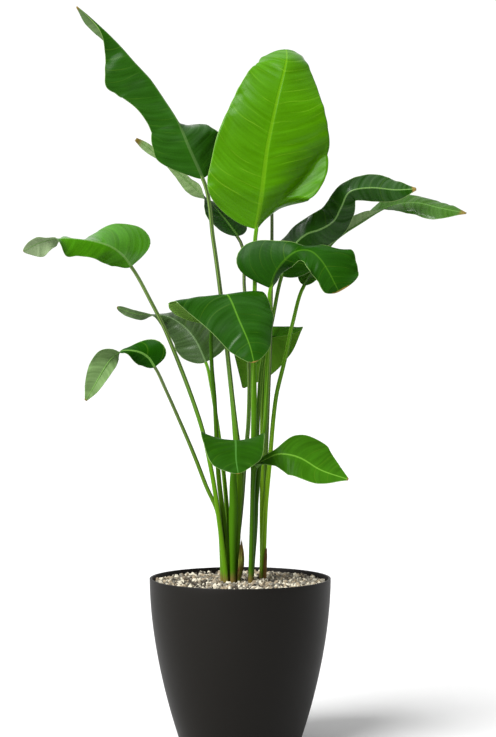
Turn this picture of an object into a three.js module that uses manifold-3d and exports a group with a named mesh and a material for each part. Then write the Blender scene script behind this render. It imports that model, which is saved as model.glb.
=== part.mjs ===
// Potted bird of paradise: a plain tapering planter, potting soil under a
// gravel top dressing, and fourteen leaves that rise in three shoots.
// Millimetres, +Z up. The origin is the middle of the planter's underside
// and the front faces -Y.
import * as THREE from 'three';
import { mergeVertices } from 'three/addons/utils/BufferGeometryUtils.js';
import Module from 'manifold-3d';

const wasm = await Module();
wasm.setup();
const { Manifold, Mesh: SolidMesh } = wasm;

// ---- driving dimensions ----------------------------------------------
const RIM_RADIUS = 175;
const FOOT_RADIUS = 113;
const POT_HEIGHT = 325;
const BELLY = 1.8; // how late the wall swings out; 1 would be a cone
const WALL = 4.5;
const FLOOR = 5;
const AIR = 0.3; // gap between pieces that meet
const SOIL_TOP = 303;
const GRAVEL_TOP = 315;
const GRAVEL_MOUND = 3;
const GRAVEL_RELIEF = 1.8;
const STALK_FOOT = 258; // the stalks end this high, inside the soil

const LEAF_THICK = 1;
const RIB_HALF = 3.4; // half width of the rib where the blade starts
const RIB_DEPTH = 5.5; // how far the rib stands below the blade there
const TIP_HALF = 1.1;

// Plain holes that the shoots stand in: centre, half length along Y, radius.
const HOLES = {
  left: { at: [-20, -20], reach: 0, radius: 21.8 },
  middle: { at: [20.2, -15], reach: 19.4, radius: 7.6 },
  right: { at: [43.8, 34.2], reach: 12.4, radius: 8.4 },
};

const COLOURS = {
  planter: [0x262522, 0.62],
  soil: [0x33261c, 0.95],
  gravel: [0xb9b0a4, 0.85],
  sheath: [0x6b4a26, 0.85],
  stalk_green: [0x5d8a33, 0.5],
  stalk_dark: [0x35612a, 0.5],
  stalk_grey: [0x7d8f70, 0.6],
  blade_lime: [0x6aa51e, 0.42],
  blade_bright: [0x4a8a22, 0.45],
  blade_deep: [0x2f6b1c, 0.42],
  blade_grey: [0x48603f, 0.5],
};

// ---- leaves ------------------------------------------------------------
// Each row of a rib is one station from the blade's base to its tip:
//   x, y, z,  the way its upper face looks (x, y, z),
//   left fold at the rib, at the margin,  right fold at the rib, at the
//   margin (degrees, up is positive),  left width, right width.
// base and tip are the rounded shares of the length, lead slants the blade
// forward, and wave is a margin's amplitude, count and phase. A crease folds
// the right half back and then out again: its rows are a share of the
// length, the share of the width where it lies, the angle before it, the
// angle beyond it, and how far it is folded. A stalk has its radius at the
// foot and at the top, how much it swells and how high up, its foot, and the
// way between.
const LEAVES = {
  leaf_01: {
    skin: 'blade_deep', stalkSkin: 'stalk_green',
    base: 0.16, tip: 0, lead: 0.12, wave: [1, 2.5, 0.5],
    rib: [
      [-72, -10, 1096, 0.3, -1, 0.1, -20, -35, -10, -25, 26, 60],
      [-99, -12, 1156, 0.2, -1, 0.2, -25, -45, -10, -20, 70, 76],
      [-110, -8, 1183, 0.2, -1, 0.2, -25, -40, -15, -25, 68, 62],
      [-122, -5, 1211, 0.2, -1, 0.2, -25, -40, -80, -95, 58, 56],
      [-146, 4, 1249, 0.2, -1, 0.2, -15, -30, -95, -110, 54, 64],
      [-173, 10, 1289, 0.2, -1, 0.2, -15, -30, -95, -115, 66.5, 70],
      [-188, 12.6, 1306, 0.2, -1, 0.2, -15, -30, -97, -120, 70, 68],
      [-203, 15, 1322, 0.2, -1, 0.2, -15, -30, -100, -125, 74, 66],
      [-217, 17.5, 1338, 0.2, -1, 0.2, -15, -30, -102, -125, 58, 57],
      [-230, 20, 1353, 0.2, -1, 0.2, -20, -40, -105, -125, 43, 48],
      [-254, 24, 1378, 0.2, -1, 0.3, -10, -20, -115, -125, 17, 22],
      [-274, 27, 1397, 0.2, -1, 0.3, 20, 10, -120, -125, 6, 20],
      [-297, 29, 1418, 0.2, -1, 0.3, 40, 40, -120, -125, 4, 18],
      [-319, 30, 1436, 0.2, -1, 0.3, 40, 40, -110, -110, 2, 4],
    ],
    stalk: [6.2, 3.8, 3.2, 540], foot: [-7.2, -20],
    way: [[-3, -22, 438], [-1, -23, 526], [-9, -22, 611], [-19, -19, 707], [-34, -14, 842],
      [-52, -11, 977]],
  },
  leaf_02: {
    skin: 'blade_lime', stalkSkin: 'stalk_green',
    base: 0.2, tip: 0.25, lead: 0.08, wave: [3, 3, 0.5],
    crease: [
      [0.1, 0.4, -60, -40, 0], [0.16, 0.5, -60, 15, 1], [0.275, 0.7, -56, 18, 1],
      [0.4, 0.9, -50, 10, 1], [0.48, 1, -30, -10, 0],
    ],
    rib: [
      [31, -28, 996, 0, -1, 0.1, 0, -10, -60, -90, 96, 36],
      [36, -32, 1026, 0, -1, 0.1, 0, -10, -30, -85, 106, 64],
      [42, -38, 1070, 0, -1, 0.1, 0, -10, -5, -70, 108, 112],
      [47, -37, 1113, 0, -1, 0.1, 0, -10, -2, -48, 104, 131],
      [53, -34, 1157, 0, -1, 0.1, 0, -10, 0, -25, 99, 126],
      [71, -22, 1245, 0, -1, 0.1, 0, -10, 0, -15, 80, 92],
      [89, 5, 1323, 0, -1, 0.5, -5, -25, -5, -35, 62, 53],
      [89, 36, 1353, 0, 0, 1, -5, -35, -5, -35, 62, 42],
      [86, 62, 1337, 0, 1, 0.6, 0, -20, 0, -20, 30, 30],
    ],
    stalk: [5.6, 4, 1.8, 650], foot: [20.6, -20],
    way: [[24, -20, 476], [26, -22, 611], [26, -22, 736], [28, -23, 887]],
  },
  leaf_03: {
    skin: 'blade_deep', stalkSkin: 'stalk_grey',
    base: 0.14, tip: 0, lead: 0, wave: [2, 3, 0.5],
    rib: [
      [-5, 60, 990, 0.3, -0.6, 1, 0, 20, 0, -20, 56, 60],
      [-36, 75, 1031, 0.3, -0.5, 1, 0, 20, 0, -20, 54, 60],
      [-66, 90, 1066, 0.3, 0, 1, 0, 0, 0, 0, 26, 34],
      [-101, 100, 1099, 0.2, 0.8, 0.8, 0, 0, 0, 0, 12, 22],
      [-148, 98, 1140, 0.1, 1, 0.6, 0, 0, 0, 0, 5, 6],
      [-186, 93, 1170, 0, 1, 0.6, 0, 0, 0, 0, 8, 11],
      [-208, 90, 1185, 0, 1, 0.6, 0, 0, 0, 0, 3, 4],
    ],
    stalk: [6.2, 3.2, 0, 0], foot: [-13.6, -8.9],
    way: [[2, -2, 465], [9, 8, 552], [16, 16, 629], [17, 28, 736], [8, 45, 885]],
  },
  leaf_04: {
    skin: 'blade_bright', stalkSkin: 'stalk_green',
    base: 0.14, tip: 0.1, lead: 0.1, wave: [1.5, 3, 0.5],
    rib: [
      [-208, -40, 924, 0, -1, 0.3, -10, -30, 10, 10, 24, 72],
      [-222, -50, 943, 0, -1, 0.3, -10, -30, 0, -10, 30, 68],
      [-243, -60, 959, 0, -1, 0.4, -10, -30, -10, -30, 34, 60],
      [-269, -70, 968, 0, -1, 0.5, -10, -20, -30, -60, 34, 45],
      [-302, -80, 973, 0, -1, 0.6, -10, -20, -60, -70, 34, 32],
      [-328, -86, 974, 0, -0.9, 0.7, -10, -20, -30, -50, 36, 21],
      [-350, -91, 972, 0, 0.4, 0.8, -10, -20, -45, -55, 12, 15],
      [-379, -94, 964, 0, 0.9, 0.5, -10, -20, -10, -20, 14, 27],
      [-407, -95, 949, 0, 0.9, 0.5, 0, 0, 0, 0, 8, 12],
    ],
    stalk: [6.2, 3.4, 0, 0], foot: [-26.4, -31.1],
    way: [[-40, -36, 439], [-55, -36, 535], [-78, -33, 631], [-137, -38, 788],
      [-172, -41, 860]],
  },
  leaf_05: {
    skin: 'blade_deep', stalkSkin: 'stalk_grey',
    base: 0.14, tip: 0, lead: 0.1, wave: [1.5, 3, 0.5],
    rib: [
      [-162, -60, 732, 0, -1, 0.2, -10, -30, 10, 10, 22, 42],
      [-174, -66, 750, 0, -1, 0.2, -10, -30, 0, 0, 24, 38],
      [-193, -74, 761, 0, -1, 0.5, -20, -40, -20, -50, 20, 26],
      [-220, -85, 763, 0, -0.3, 1, -20, -30, -20, -30, 10, 15],
      [-234, -90, 755, 0, 0.6, 0.8, -10, -20, -20, -30, 25, 12],
      [-246, -94, 742, 0, 1, 0.4, 0, -10, -20, -30, 29, 17],
      [-260, -100, 719, 0, 1, 0.2, 0, -10, -20, -30, 27, 17],
      [-275, -104, 692, 0, 1, 0.2, 0, -10, -20, -20, 17, 12],
      [-289, -105, 669, 0, 1, 0.2, 0, 0, 0, 0, 2, 2],
    ],
    stalk: [6.2, 3, 0, 0], foot: [-32.8, -20],
    way: [[-42, -26, 448], [-65, -32, 504], [-88, -40, 564], [-116, -48, 631],
      [-141, -56, 688]],
  },
  leaf_06: {
    skin: 'blade_grey', stalkSkin: 'stalk_green',
    base: 0.14, tip: 0.06, lead: 0.1, wave: [2, 3, 0.5],
    rib: [
      [-68, 50, 742, 0, -1, 0.5, -10, -30, 0, 0, 32, 60],
      [-86, 60, 781, 0, -1, 0.5, -20, -40, 0, 0, 46, 66],
      [-106, 70, 807, 0, -1, 0.6, -20, -50, 0, 0, 40, 66],
      [-136, 80, 829, 0, -1, 0.8, -30, -60, -20, -30, 28, 48],
      [-164, 87, 836, 0, -0.4, 1.5, -10, -20, -10, -20, 14, 24],
      [-208, 93, 838, 0, 1, 0.8, 0, 0, 0, 0, 9, 12],
      [-246, 96, 851, 0, 1, 0.8, 0, 0, 0, 0, 6, 9],
    ],
    stalk: [6.2, 3.2, 0, 0], foot: [-26.4, -8.9],
    way: [[-25, -2, 436], [-32, 8, 524], [-43, 24, 609], [-59, 42, 706]],
  },
  leaf_07: {
    skin: 'blade_bright', stalkSkin: 'stalk_dark',
    stations: 22,
    base: 0.14, tip: 0.14, lead: 0, wave: [1.5, 3, 0.5],
    rib: [
      [-52, -42, 814, 0, 0.6, 1, 0, -10, 0, -40, 70, 104],
      [-37, -64, 855, 0, 0.3, 1, 0, -10, 0, -25, 72, 112],
      [-24, -96, 867, -0.1, -0.5, 1, 0, -20, 10, 0, 74, 100],
      [0, -134, 815, 0, -1, 0.6, 0, -30, 0, -10, 70, 57],
      [18, -150, 772, 0, -1, 0.4, 0, -40, 0, -20, 46, 38],
      [26, -156, 740, 0, -1, 0.3, 0, 0, 0, 0, 26, 22],
    ],
    stalk: [6.2, 3.6, 0, 0], foot: [-20, -20],
    way: [[-32, -18, 438], [-42, -17, 526], [-49, -20, 668], [-55, -28, 747]],
  },
  leaf_08: {
    skin: 'blade_bright', stalkSkin: 'stalk_dark',
    stations: 22,
    base: 0.14, tip: 0, lead: 0, wave: [2, 3, 0.5],
    rib: [
      [56, 62, 791, 0, -0.2, 1, 0, 0, 0, 0, 46, 54],
      [60, 88, 812, 0, 0.1, 1, 0, 0, 0, 0, 50, 64],
      [58, 112, 804, 0, 0.7, 0.8, 0, 0, 0, 0, 64, 62],
      [50, 124, 780, 0, 1, 0.3, 0, 0, 0, 0, 76, 56],
      [29, 130, 734, 0, 1, 0.2, 0, 0, 0, 0, 46, 38],
      [5, 134, 690, 0, 1, 0.2, 0, 0, 0, 0, 2, 2],
    ],
    stalk: [5.6, 3.4, 0, 0], foot: [21.4, 4.2],
    way: [[30, 10, 435], [32, 24, 551], [36, 42, 667], [42, 52, 736]],
  },
  leaf_09: {
    skin: 'blade_deep', stalkSkin: 'stalk_dark',
    stations: 22,
    base: 0.1, tip: 0, lead: 0, wave: [2, 3, 0.5],
    rib: [
      [80, 22, 909, -0.2, -1, 0.3, -10, -20, -20, -30, 40, 50],
      [91, 26, 944, -0.2, -1, 0.3, -10, -20, -20, -30, 44, 54],
      [109, 31, 974, -0.3, -1, 0.3, -20, -30, -20, -30, 38, 52],
      [130, 36, 992, -0.3, -1, 0.4, -10, -20, -30, -50, 38, 42],
      [158, 40, 1002, -0.3, -1, 0.4, 0, 0, -40, -60, 38, 38],
      [183, 38, 1018, -0.3, -1, 0.4, 0, 0, -50, -70, 38, 36],
      [197, 32, 1044, -0.3, -1, 0.5, 0, 0, -50, -60, 33, 32],
      [213, 26, 1073, 0, -1, 0.5, -10, -20, -50, -60, 28, 24],
      [253, 24, 1081, 0, -1, 0.5, -10, -20, -50, -60, 38, 28],
      [303, 24, 1077, 0, -1, 0.5, -10, -20, -30, -40, 28, 22],
      [343, 24, 1079, 0, -1, 0.5, -20, -20, -20, -20, 3, 3],
    ],
    stalk: [5.8, 3.6, 0, 0], foot: [43.2, 34.2],
    way: [[42, 32, 433], [42, 24, 551], [43, 14, 668], [48, 12, 746], [65, 16, 837]],
  },
  leaf_10: {
    skin: 'blade_bright', stalkSkin: 'stalk_grey',
    base: 0.14, tip: 0, lead: 0, wave: [3, 3, 0.5],
    rib: [
      [62, 65, 1049, 0, -0.9, 0.4, 15, 10, 15, 10, 56, 56],
      [61, 85, 1119, 0, -0.9, 0.5, 15, 10, 15, 10, 64, 64],
      [59, 125, 1184, 0, -0.6, 0.9, 5, -10, 5, -10, 60, 60],
      [56, 185, 1225, 0, 0, 1, -5, -20, -5, -20, 40, 40],
      [53, 262, 1227, 0, 0.5, 1, -10, -20, -10, -20, 4, 4],
    ],
    stalk: [5.8, 3.2, 0, 0], foot: [42.4, 46.4],
    way: [[45, 47, 432], [52, 48, 608], [58, 52, 765], [61, 60, 903]],
  },
  leaf_11: {
    skin: 'blade_bright', stalkSkin: 'stalk_green',
    base: 0.14, tip: 0.2, lead: 0, wave: [1, 3, 0.5],
    rib: [
      [-8, -46, 569, 0, 0.2, 1, 0, 30, 0, 30, 42, 52],
      [-9, -68, 593, 0, -0.1, 1, 0, 30, 0, 30, 56, 68],
      [-8, -100, 584, 0, -0.5, 1, 0, 20, 0, 20, 54, 62],
      [-7, -134, 559, 0, -0.7, 0.7, 0, 0, 0, 0, 46, 48],
      [-3, -154, 535, 0, -0.9, 0.5, 0, 0, 0, 0, 20, 20],
    ],
    stalk: [6.2, 3.6, 4.5, 460], foot: [-13.6, -31.1],
    way: [[-14, -36, 401], [-12.5, -41, 468], [-13, -45, 526]],
  },
  leaf_12: {
    skin: 'blade_bright', stalkSkin: 'stalk_green',
    base: 0.14, tip: 0, lead: -0.1, wave: [2, 3, 0.5],
    rib: [
      [30, -36, 543, 0, -0.6, 1, 50, 50, 50, 50, 8, 10],
      [49, -46, 555, 0, -0.8, 0.8, 30, 30, 30, 30, 9, 18],
      [72, -56, 566, 0, -1, 0.6, 10, 0, 10, 0, 14, 28],
      [95, -62, 565, 0, -1, 0.6, 0, -10, 0, -10, 44, 36],
      [117, -68, 558, 0, -1, 0.6, 0, -10, 0, -10, 54, 40],
      [153, -78, 537, 0, -1, 0.6, 0, -10, 0, -10, 48, 30],
      [204, -86, 520, 0, -1, 0.6, 0, 0, 0, 0, 2, 2],
    ],
    stalk: [5.8, 3.6, 0, 0], foot: [20, -34.2],
    way: [[22, -35, 401], [23, -36, 468], [26, -36, 516]],
  },
  leaf_13: {
    skin: 'blade_deep', stalkSkin: 'stalk_green',
    base: 0.1, tip: 0, lead: 0, wave: [2, 3, 0.5],
    rib: [
      [125, 52, 893, -0.2, -1, 0.6, 10, 0, 10, 0, 26, 22],
      [154, 84, 940, -0.2, -0.5, 1, 20, 10, 25, 20, 28, 26],
      [189, 112, 986, -0.1, 0.1, 1, 20, 20, 45, 45, 24, 26],
      [240, 120, 1021, -0.1, 0.1, 1, 20, 20, 45, 40, 28, 26],
      [295, 108, 1052, -0.1, -0.6, 1.2, 20, 20, 15, 0, 30, 30],
      [346, 86, 1058, 0.2, -1, 1, 0, -20, 0, -20, 33, 30],
      [393, 62, 1045, 0.2, -1, 1, 0, -20, 0, -20, 30, 33],
      [443, 44, 1033, 0.2, -1, 1, 0, 0, 0, 0, 2, 2],
    ],
    stalk: [5.8, 3.6, 0, 0], foot: [44, 22],
    way: [[49, 24, 453], [56, 26, 531], [69, 30, 668], [87, 36, 746], [103, 44, 820]],
  },
  leaf_14: {
    skin: 'blade_deep', stalkSkin: 'stalk_green',
    base: 0.16, tip: 0.06, lead: 0.28, wave: [3, 3, 0.5],
    rib: [
      [58, -48, 882, 0, -1, 0.2, 0, -10, -60, -70, 84, 20],
      [68, -52, 912, -0.05, -1, 0.3, 0, -10, -60, -70, 84, 22],
      [87, -61, 937, -0.1, -1, 0.4, 0, -10, -30, -40, 40, 20],
      [108, -74, 951, 0, -0.9, 0.8, -10, -40, -10, -20, 23, 22],
      [132, -88, 950, 0, -0.9, 0.8, 0, -20, -10, -20, 34, 29],
      [150, -102, 934, 0, -1, 0.5, 0, -20, 0, -20, 63, 31],
      [166, -112, 909, 0, -1, 0.3, 0, -20, 0, -20, 56, 27],
      [177, -116, 887, 0, -1, 0, 0, -20, 0, -20, 50, 26],
      [185, -113, 872, 0, -1, -0.4, 0, 0, 0, 0, 42, 20],
    ],
    stalk: [5.6, 3.8, 0, 0], foot: [19.4, -7.6],
    way: [[31, -7, 475], [38, -10, 553], [47, -18, 620], [50, -26, 678], [53, -38, 764],
      [58, -46, 831]],
  },
};

// ---- curves ------------------------------------------------------------
const lerp = (a, b, t) => a + (b - a) * t;
const sum = (a, b, s = 1) => a.map((v, i) => v + b[i] * s);
const dot = (a, b) => a[0] * b[0] + a[1] * b[1] + a[2] * b[2];
const length = (a) => Math.hypot(...a);
const unit = (a) => a.map((v) => v / (length(a) || 1));
const cross = (a, b) => [
  a[1] * b[2] - a[2] * b[1],
  a[2] * b[0] - a[0] * b[2],
  a[0] * b[1] - a[1] * b[0],
];
const radians = (degrees) => (degrees * Math.PI) / 180;

// Keys 0..1 by the distance between neighbouring points.
function chordKeys(points) {
  const keys = [0];
  for (let i = 1; i < points.length; i++) {
    keys.push(keys[i - 1] + length(sum(points[i], points[i - 1], -1)));
  }
  return keys.map((k) => k / keys[keys.length - 1]);
}

// Cubic Hermite curve through rows of values, tangents from the neighbours.
function curve(keys, rows, lastSlope) {
  const last = rows.length - 1;
  const slopes = rows.map((_, i) => {
    const a = Math.max(i - 1, 0);
    const b = Math.min(i + 1, last);
    return rows[b].map((v, c) => (v - rows[a][c]) / (keys[b] - keys[a]));
  });
  if (lastSlope) slopes[last] = lastSlope;
  return (t) => {
    let i = 0;
    while (i < last - 1 && t >= keys[i + 1]) i++;
    const h = keys[i + 1] - keys[i];
    const s = (t - keys[i]) / h;
    const w = [
      2 * s ** 3 - 3 * s ** 2 + 1,
      (s ** 3 - 2 * s ** 2 + s) * h,
      -2 * s ** 3 + 3 * s ** 2,
      (s ** 3 - s ** 2) * h,
    ];
    return rows[i].map((v, c) => w[0] * v + w[1] * slopes[i][c]
      + w[2] * rows[i + 1][c] + w[3] * slopes[i + 1][c]);
  };
}

// 0 at a rounded end, 1 along the rest.
function rounding(u, base, tip) {
  const part = (d, reach) => (reach > 0 ? Math.min(1, d / reach) : 1);
  const a = 1 - part(u, base);
  const b = 1 - part(1 - u, tip);
  return Math.sqrt(1 - a * a) * Math.sqrt(1 - b * b);
}

// ---- a blade's surface ---------------------------------------------------
// How far out and up a creased half has come at the share v of its width.
function creased(rows, u, [a0, a1], v) {
  const keys = rows.map((row) => row[0]);
  const last = keys.length - 1;
  const i = Math.max(0, Math.min(last - 1, keys.findIndex((k) => k > u) - 1));
  const t = Math.min(1, Math.max(0, (u - keys[i]) / (keys[i + 1] - keys[i])));
  const inside = u > keys[0] && u < keys[last];
  const [, place, steep, flat, folded] = rows[i].map((value, c) => lerp(value, rows[i + 1][c], t));
  const steps = 40;
  let [out, up] = [0, 0];
  for (let k = 0; k < steps; k++) {
    const here = (v * (k + 0.5)) / steps;
    const beyond = Math.min(1, Math.max(0, (here - place) / 0.06 + 0.5));
    const before = lerp(a0, radians(steep), Math.min(1, here / place) ** 1.5);
    const angle = lerp(lerp(a0, a1, here), lerp(before, radians(flat), beyond), inside ? folded : 0);
    out += (Math.cos(angle) * v) / steps;
    up += (Math.sin(angle) * v) / steps;
  }
  return [out, up];
}

function bladeForm(leaf) {
  const keys = chordKeys(leaf.rib.map((row) => row.slice(0, 3)));
  const at = curve(keys, leaf.rib);
  const step = 1e-3;
  const frame = (u) => {
    const row = at(u);
    const ahead = at(Math.min(u + step, 1));
    const behind = at(Math.max(u - step, 0));
    const along = unit(sum(ahead.slice(0, 3), behind.slice(0, 3), -1));
    const hint = row.slice(3, 6);
    const face = unit(sum(hint, along, -dot(hint, along)));
    const end = lerp(RIB_HALF, TIP_HALF, u);
    const round = rounding(u, leaf.base, leaf.tip);
    return {
      at: row.slice(0, 3),
      along,
      face,
      left: cross(face, along),
      fold: [row.slice(6, 8).map(radians), row.slice(8, 10).map(radians)],
      width: [row[10], row[11]].map((w) => Math.hypot(Math.max(w, 0.5) * round, end)),
      round,
    };
  };
  // A point of the blade's middle surface: side 0 is left, 1 is right.
  const point = (f, u, side, v) => {
    const [a0, a1] = f.fold[side];
    const w = f.width[side] * v;
    let d = (a1 - a0) * v;
    if (Math.abs(d) < 1e-4) d = 1e-4;
    let across = (w * (Math.sin(a0 + d) - Math.sin(a0))) / d;
    const [size, count, phase] = leaf.wave;
    const ripple = size * v * v * Math.sin(2 * Math.PI * count * u + phase + 1.7 * side)
      * Math.sin(Math.PI * u);
    let up = (w * (Math.cos(a0) - Math.cos(a0 + d))) / d + ripple;
    if (leaf.crease && side === 1) {
      const [out, rise] = creased(leaf.crease, u, f.fold[1], v);
      across = f.width[1] * out;
      up = f.width[1] * rise + ripple;
    }
    const lead = leaf.lead * w * Math.sin(Math.PI * u);
    let p = sum(f.at, f.left, side === 0 ? across : -across);
    p = sum(p, f.face, up);
    return sum(p, f.along, lead);
  };
  return { frame, point };
}

// Stations crowd toward the ends, where the outline turns.
const spread = (i, n) => 0.35 * (i / n) + 0.325 * (1 - Math.cos((Math.PI * i) / n));

// A closed skin between an upper and a lower sheet of points, rows of equal
// length, running base to tip and from the left margin to the right.
function sheetGeometry(upper, lower) {
  const rows = upper.length;
  const cols = upper[0].length;
  const points = [...upper.flat(), ...lower.flat()];
  const top = (i, j) => i * cols + j;
  const under = (i, j) => rows * cols + i * cols + j;
  const faces = [];
  const quad = (a, b, c, d) => faces.push([a, b, c], [a, c, d]);
  for (let i = 0; i < rows - 1; i++) {
    for (let j = 0; j < cols - 1; j++) {
      // Both sheets are split along the same diagonal, so they never cross.
      faces.push([top(i, j), top(i, j + 1), top(i + 1, j + 1)]);
      faces.push([top(i, j), top(i + 1, j + 1), top(i + 1, j)]);
      faces.push([under(i, j), under(i + 1, j + 1), under(i, j + 1)]);
      faces.push([under(i, j), under(i + 1, j), under(i + 1, j + 1)]);
    }
    quad(top(i + 1, 0), under(i + 1, 0), under(i, 0), top(i, 0));
    quad(top(i, cols - 1), under(i, cols - 1), under(i + 1, cols - 1), top(i + 1, cols - 1));
  }
  // Each end is closed so that no cut leaves the section beside the rib.
  for (let j = 0; j < cols - 1; j++) {
    for (const [i, near, far] of [[0, j, j + 1], [rows - 1, j + 1, j]]) {
      const corners = [top(i, near), under(i, near), under(i, far), top(i, far)];
      const turn = (j < (cols - 1) / 2) === (i === 0) ? 1 : 0;
      quad(...corners.slice(turn), ...corners.slice(0, turn));
    }
  }
  return indexed(points, faces);
}

function indexed(points, faces) {
  const geometry = new THREE.BufferGeometry();
  geometry.setAttribute('position', new THREE.Float32BufferAttribute(points.flat(), 3));
  geometry.setIndex(faces.flat());
  geometry.computeVertexNormals();
  return geometry;
}

function bladeGeometry(leaf, stations) {
  const form = bladeForm(leaf);
  const frames = [];
  for (let i = 0; i <= stations; i++) {
    const u = spread(i, stations);
    frames.push({ ...form.frame(u), u });
  }
  const half = LEAF_THICK / 2;
  const upper = [];
  const lower = [];
  for (const f of frames) {
    const columns = [0, 1].map((side) => {
      const rib = Math.min(0.3, lerp(RIB_HALF, TIP_HALF, f.u) / f.width[side]);
      return [rib, lerp(rib, 1, 0.3), lerp(rib, 1, 0.65), 1].map((v) => {
        const [a0, a1] = f.fold[side];
        const a = lerp(a0, a1, v);
        const out = side === 0 ? -1 : 1;
        let normal = f.left.map((l, c) => out * Math.sin(a) * l + Math.cos(a) * f.face[c]);
        normal = unit(normal);
        const p = form.point(f, f.u, side, v);
        return { above: sum(p, normal, half), below: sum(p, normal, -half) };
      });
    });
    const [aL, aR] = [f.fold[0][0], f.fold[1][0]];
    const lean = f.left.map((l, c) => (Math.sin(aR) - Math.sin(aL)) * l
      + (Math.cos(aL) + Math.cos(aR)) * f.face[c]);
    const bisector = unit(lean);
    const mitre = half / Math.max(0.2, Math.cos((aL + aR) / 2));
    const keel = lerp(RIB_DEPTH, LEAF_THICK, Math.min(1, f.u * 1.15) ** 0.7);
    const spineTop = sum(f.at, bisector, mitre);
    const spineBelow = sum(f.at, bisector, -Math.max(keel, mitre * 1.6));
    upper.push([
      ...columns[0].map((c) => c.above).reverse(), spineTop, ...columns[1].map((c) => c.above),
    ]);
    lower.push([
      ...columns[0].map((c) => c.below).reverse(), spineBelow, ...columns[1].map((c) => c.below),
    ]);
  }
  return sheetGeometry(upper, lower);
}

// ---- stalks --------------------------------------------------------------
const STALK_SIDES = 8;
const STALK_RINGS = 13;
const STALK_TAPER = 0.6;
const SWELL_REACH = 80;

const stalkRadius = ([foot, top, swell, high], t, z) => lerp(foot, top, t ** STALK_TAPER)
  + swell * Math.exp(-(((z - high) / SWELL_REACH) ** 2));

function stalkLine(leaf) {
  const start = bladeForm(leaf).frame(0);
  const sunk = RIB_DEPTH / 2 - LEAF_THICK / 2;
  const end = sum(sum(start.at, start.face, -sunk), start.along, -AIR);
  const [x, y] = leaf.foot;
  const points = [[x, y, STALK_FOOT], [x, y, GRAVEL_TOP + 3], ...leaf.way, end];
  const keys = chordKeys(points);
  const lastPart = length(sum(end, points[points.length - 2], -1));
  const pace = lastPart / (1 - keys[keys.length - 2]);
  const at = curve(keys, points, start.along.map((v) => v * pace));
  return { at, end, plane: start.along };
}

function stalkGeometry(leaf) {
  const line = stalkLine(leaf);
  const points = [];
  const faces = [];
  for (let i = 0; i < STALK_RINGS; i++) {
    const t = i / (STALK_RINGS - 1);
    const here = line.at(t);
    const along = unit(sum(line.at(Math.min(1, t + 1e-3)), line.at(Math.max(0, t - 1e-3)), -1));
    const side = unit(cross(along, [0, 1, 0]));
    const back = cross(side, along);
    const radius = stalkRadius(leaf.stalk, t, here[2]);
    for (let k = 0; k < STALK_SIDES; k++) {
      const a = (2 * Math.PI * (k + 0.5)) / STALK_SIDES;
      let p = sum(sum(here, side, radius * Math.cos(a)), back, radius * Math.sin(a));
      if (i === STALK_RINGS - 1) {
        // The top is cut parallel to the blade's first section.
        const off = dot(sum(p, line.end, -1), line.plane);
        p = sum(p, along, -off / dot(along, line.plane));
      }
      points.push(p);
    }
  }
  const ring = (i, k) => i * STALK_SIDES + (k % STALK_SIDES);
  for (let i = 0; i < STALK_RINGS - 1; i++) {
    for (let k = 0; k < STALK_SIDES; k++) {
      faces.push([ring(i, k), ring(i, k + 1), ring(i + 1, k + 1)]);
      faces.push([ring(i, k), ring(i + 1, k + 1), ring(i + 1, k)]);
    }
  }
  for (let k = 1; k < STALK_SIDES - 1; k++) {
    faces.push([ring(0, 0), ring(0, k + 1), ring(0, k)]);
    faces.push([ring(STALK_RINGS - 1, 0), ring(STALK_RINGS - 1, k), ring(STALK_RINGS - 1, k + 1)]);
  }
  return orient(indexed(points, faces));
}

// Turns every triangle over if the closed body came out inside out.
function orient(geometry) {
  const p = geometry.getAttribute('position');
  const index = geometry.getIndex();
  const [a, b, c] = [new THREE.Vector3(), new THREE.Vector3(), new THREE.Vector3()];
  let volume = 0;
  for (let i = 0; i < index.count; i += 3) {
    a.fromBufferAttribute(p, index.getX(i));
    b.fromBufferAttribute(p, index.getX(i + 1));
    c.fromBufferAttribute(p, index.getX(i + 2));
    volume += a.dot(b.cross(c));
  }
  if (volume > 0) return geometry;
  for (let i = 0; i < index.count; i += 3) {
    const swap = index.getX(i);
    index.setX(i, index.getX(i + 1));
    index.setX(i + 1, swap);
  }
  geometry.computeVertexNormals();
  return geometry;
}

// ---- planter, soil and gravel ---------------------------------------------
const potRadius = (z) => RIM_RADIUS
  - (RIM_RADIUS - FOOT_RADIUS) * (1 - z / POT_HEIGHT) ** BELLY;

// Turns a profile of [radius, height] points about Z into a closed body.
function turned(profile, segments) {
  const points = [];
  const faces = [];
  const rings = profile.map(([r, z]) => {
    const first = points.length;
    if (r === 0) {
      points.push([0, 0, z]);
      return { first, single: true };
    }
    for (let k = 0; k < segments; k++) {
      const a = (2 * Math.PI * k) / segments;
      points.push([r * Math.cos(a), r * Math.sin(a), z]);
    }
    return { first, single: false };
  });
  const vertex = (ring, k) => (ring.single ? ring.first : ring.first + (k % segments));
  for (let i = 0; i < rings.length - 1; i++) {
    const [a, b] = [rings[i], rings[i + 1]];
    for (let k = 0; k < segments; k++) {
      const quad = [vertex(a, k), vertex(a, k + 1), vertex(b, k + 1), vertex(b, k)];
      if (!a.single) faces.push([quad[0], quad[1], quad[2]]);
      if (!b.single) faces.push([quad[0], quad[2], quad[3]]);
    }
  }
  return orient(indexed(points, faces));
}

const POT_SEGMENTS = 44;
const LEVELS = [40, 85, 135, 190, 250];

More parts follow.
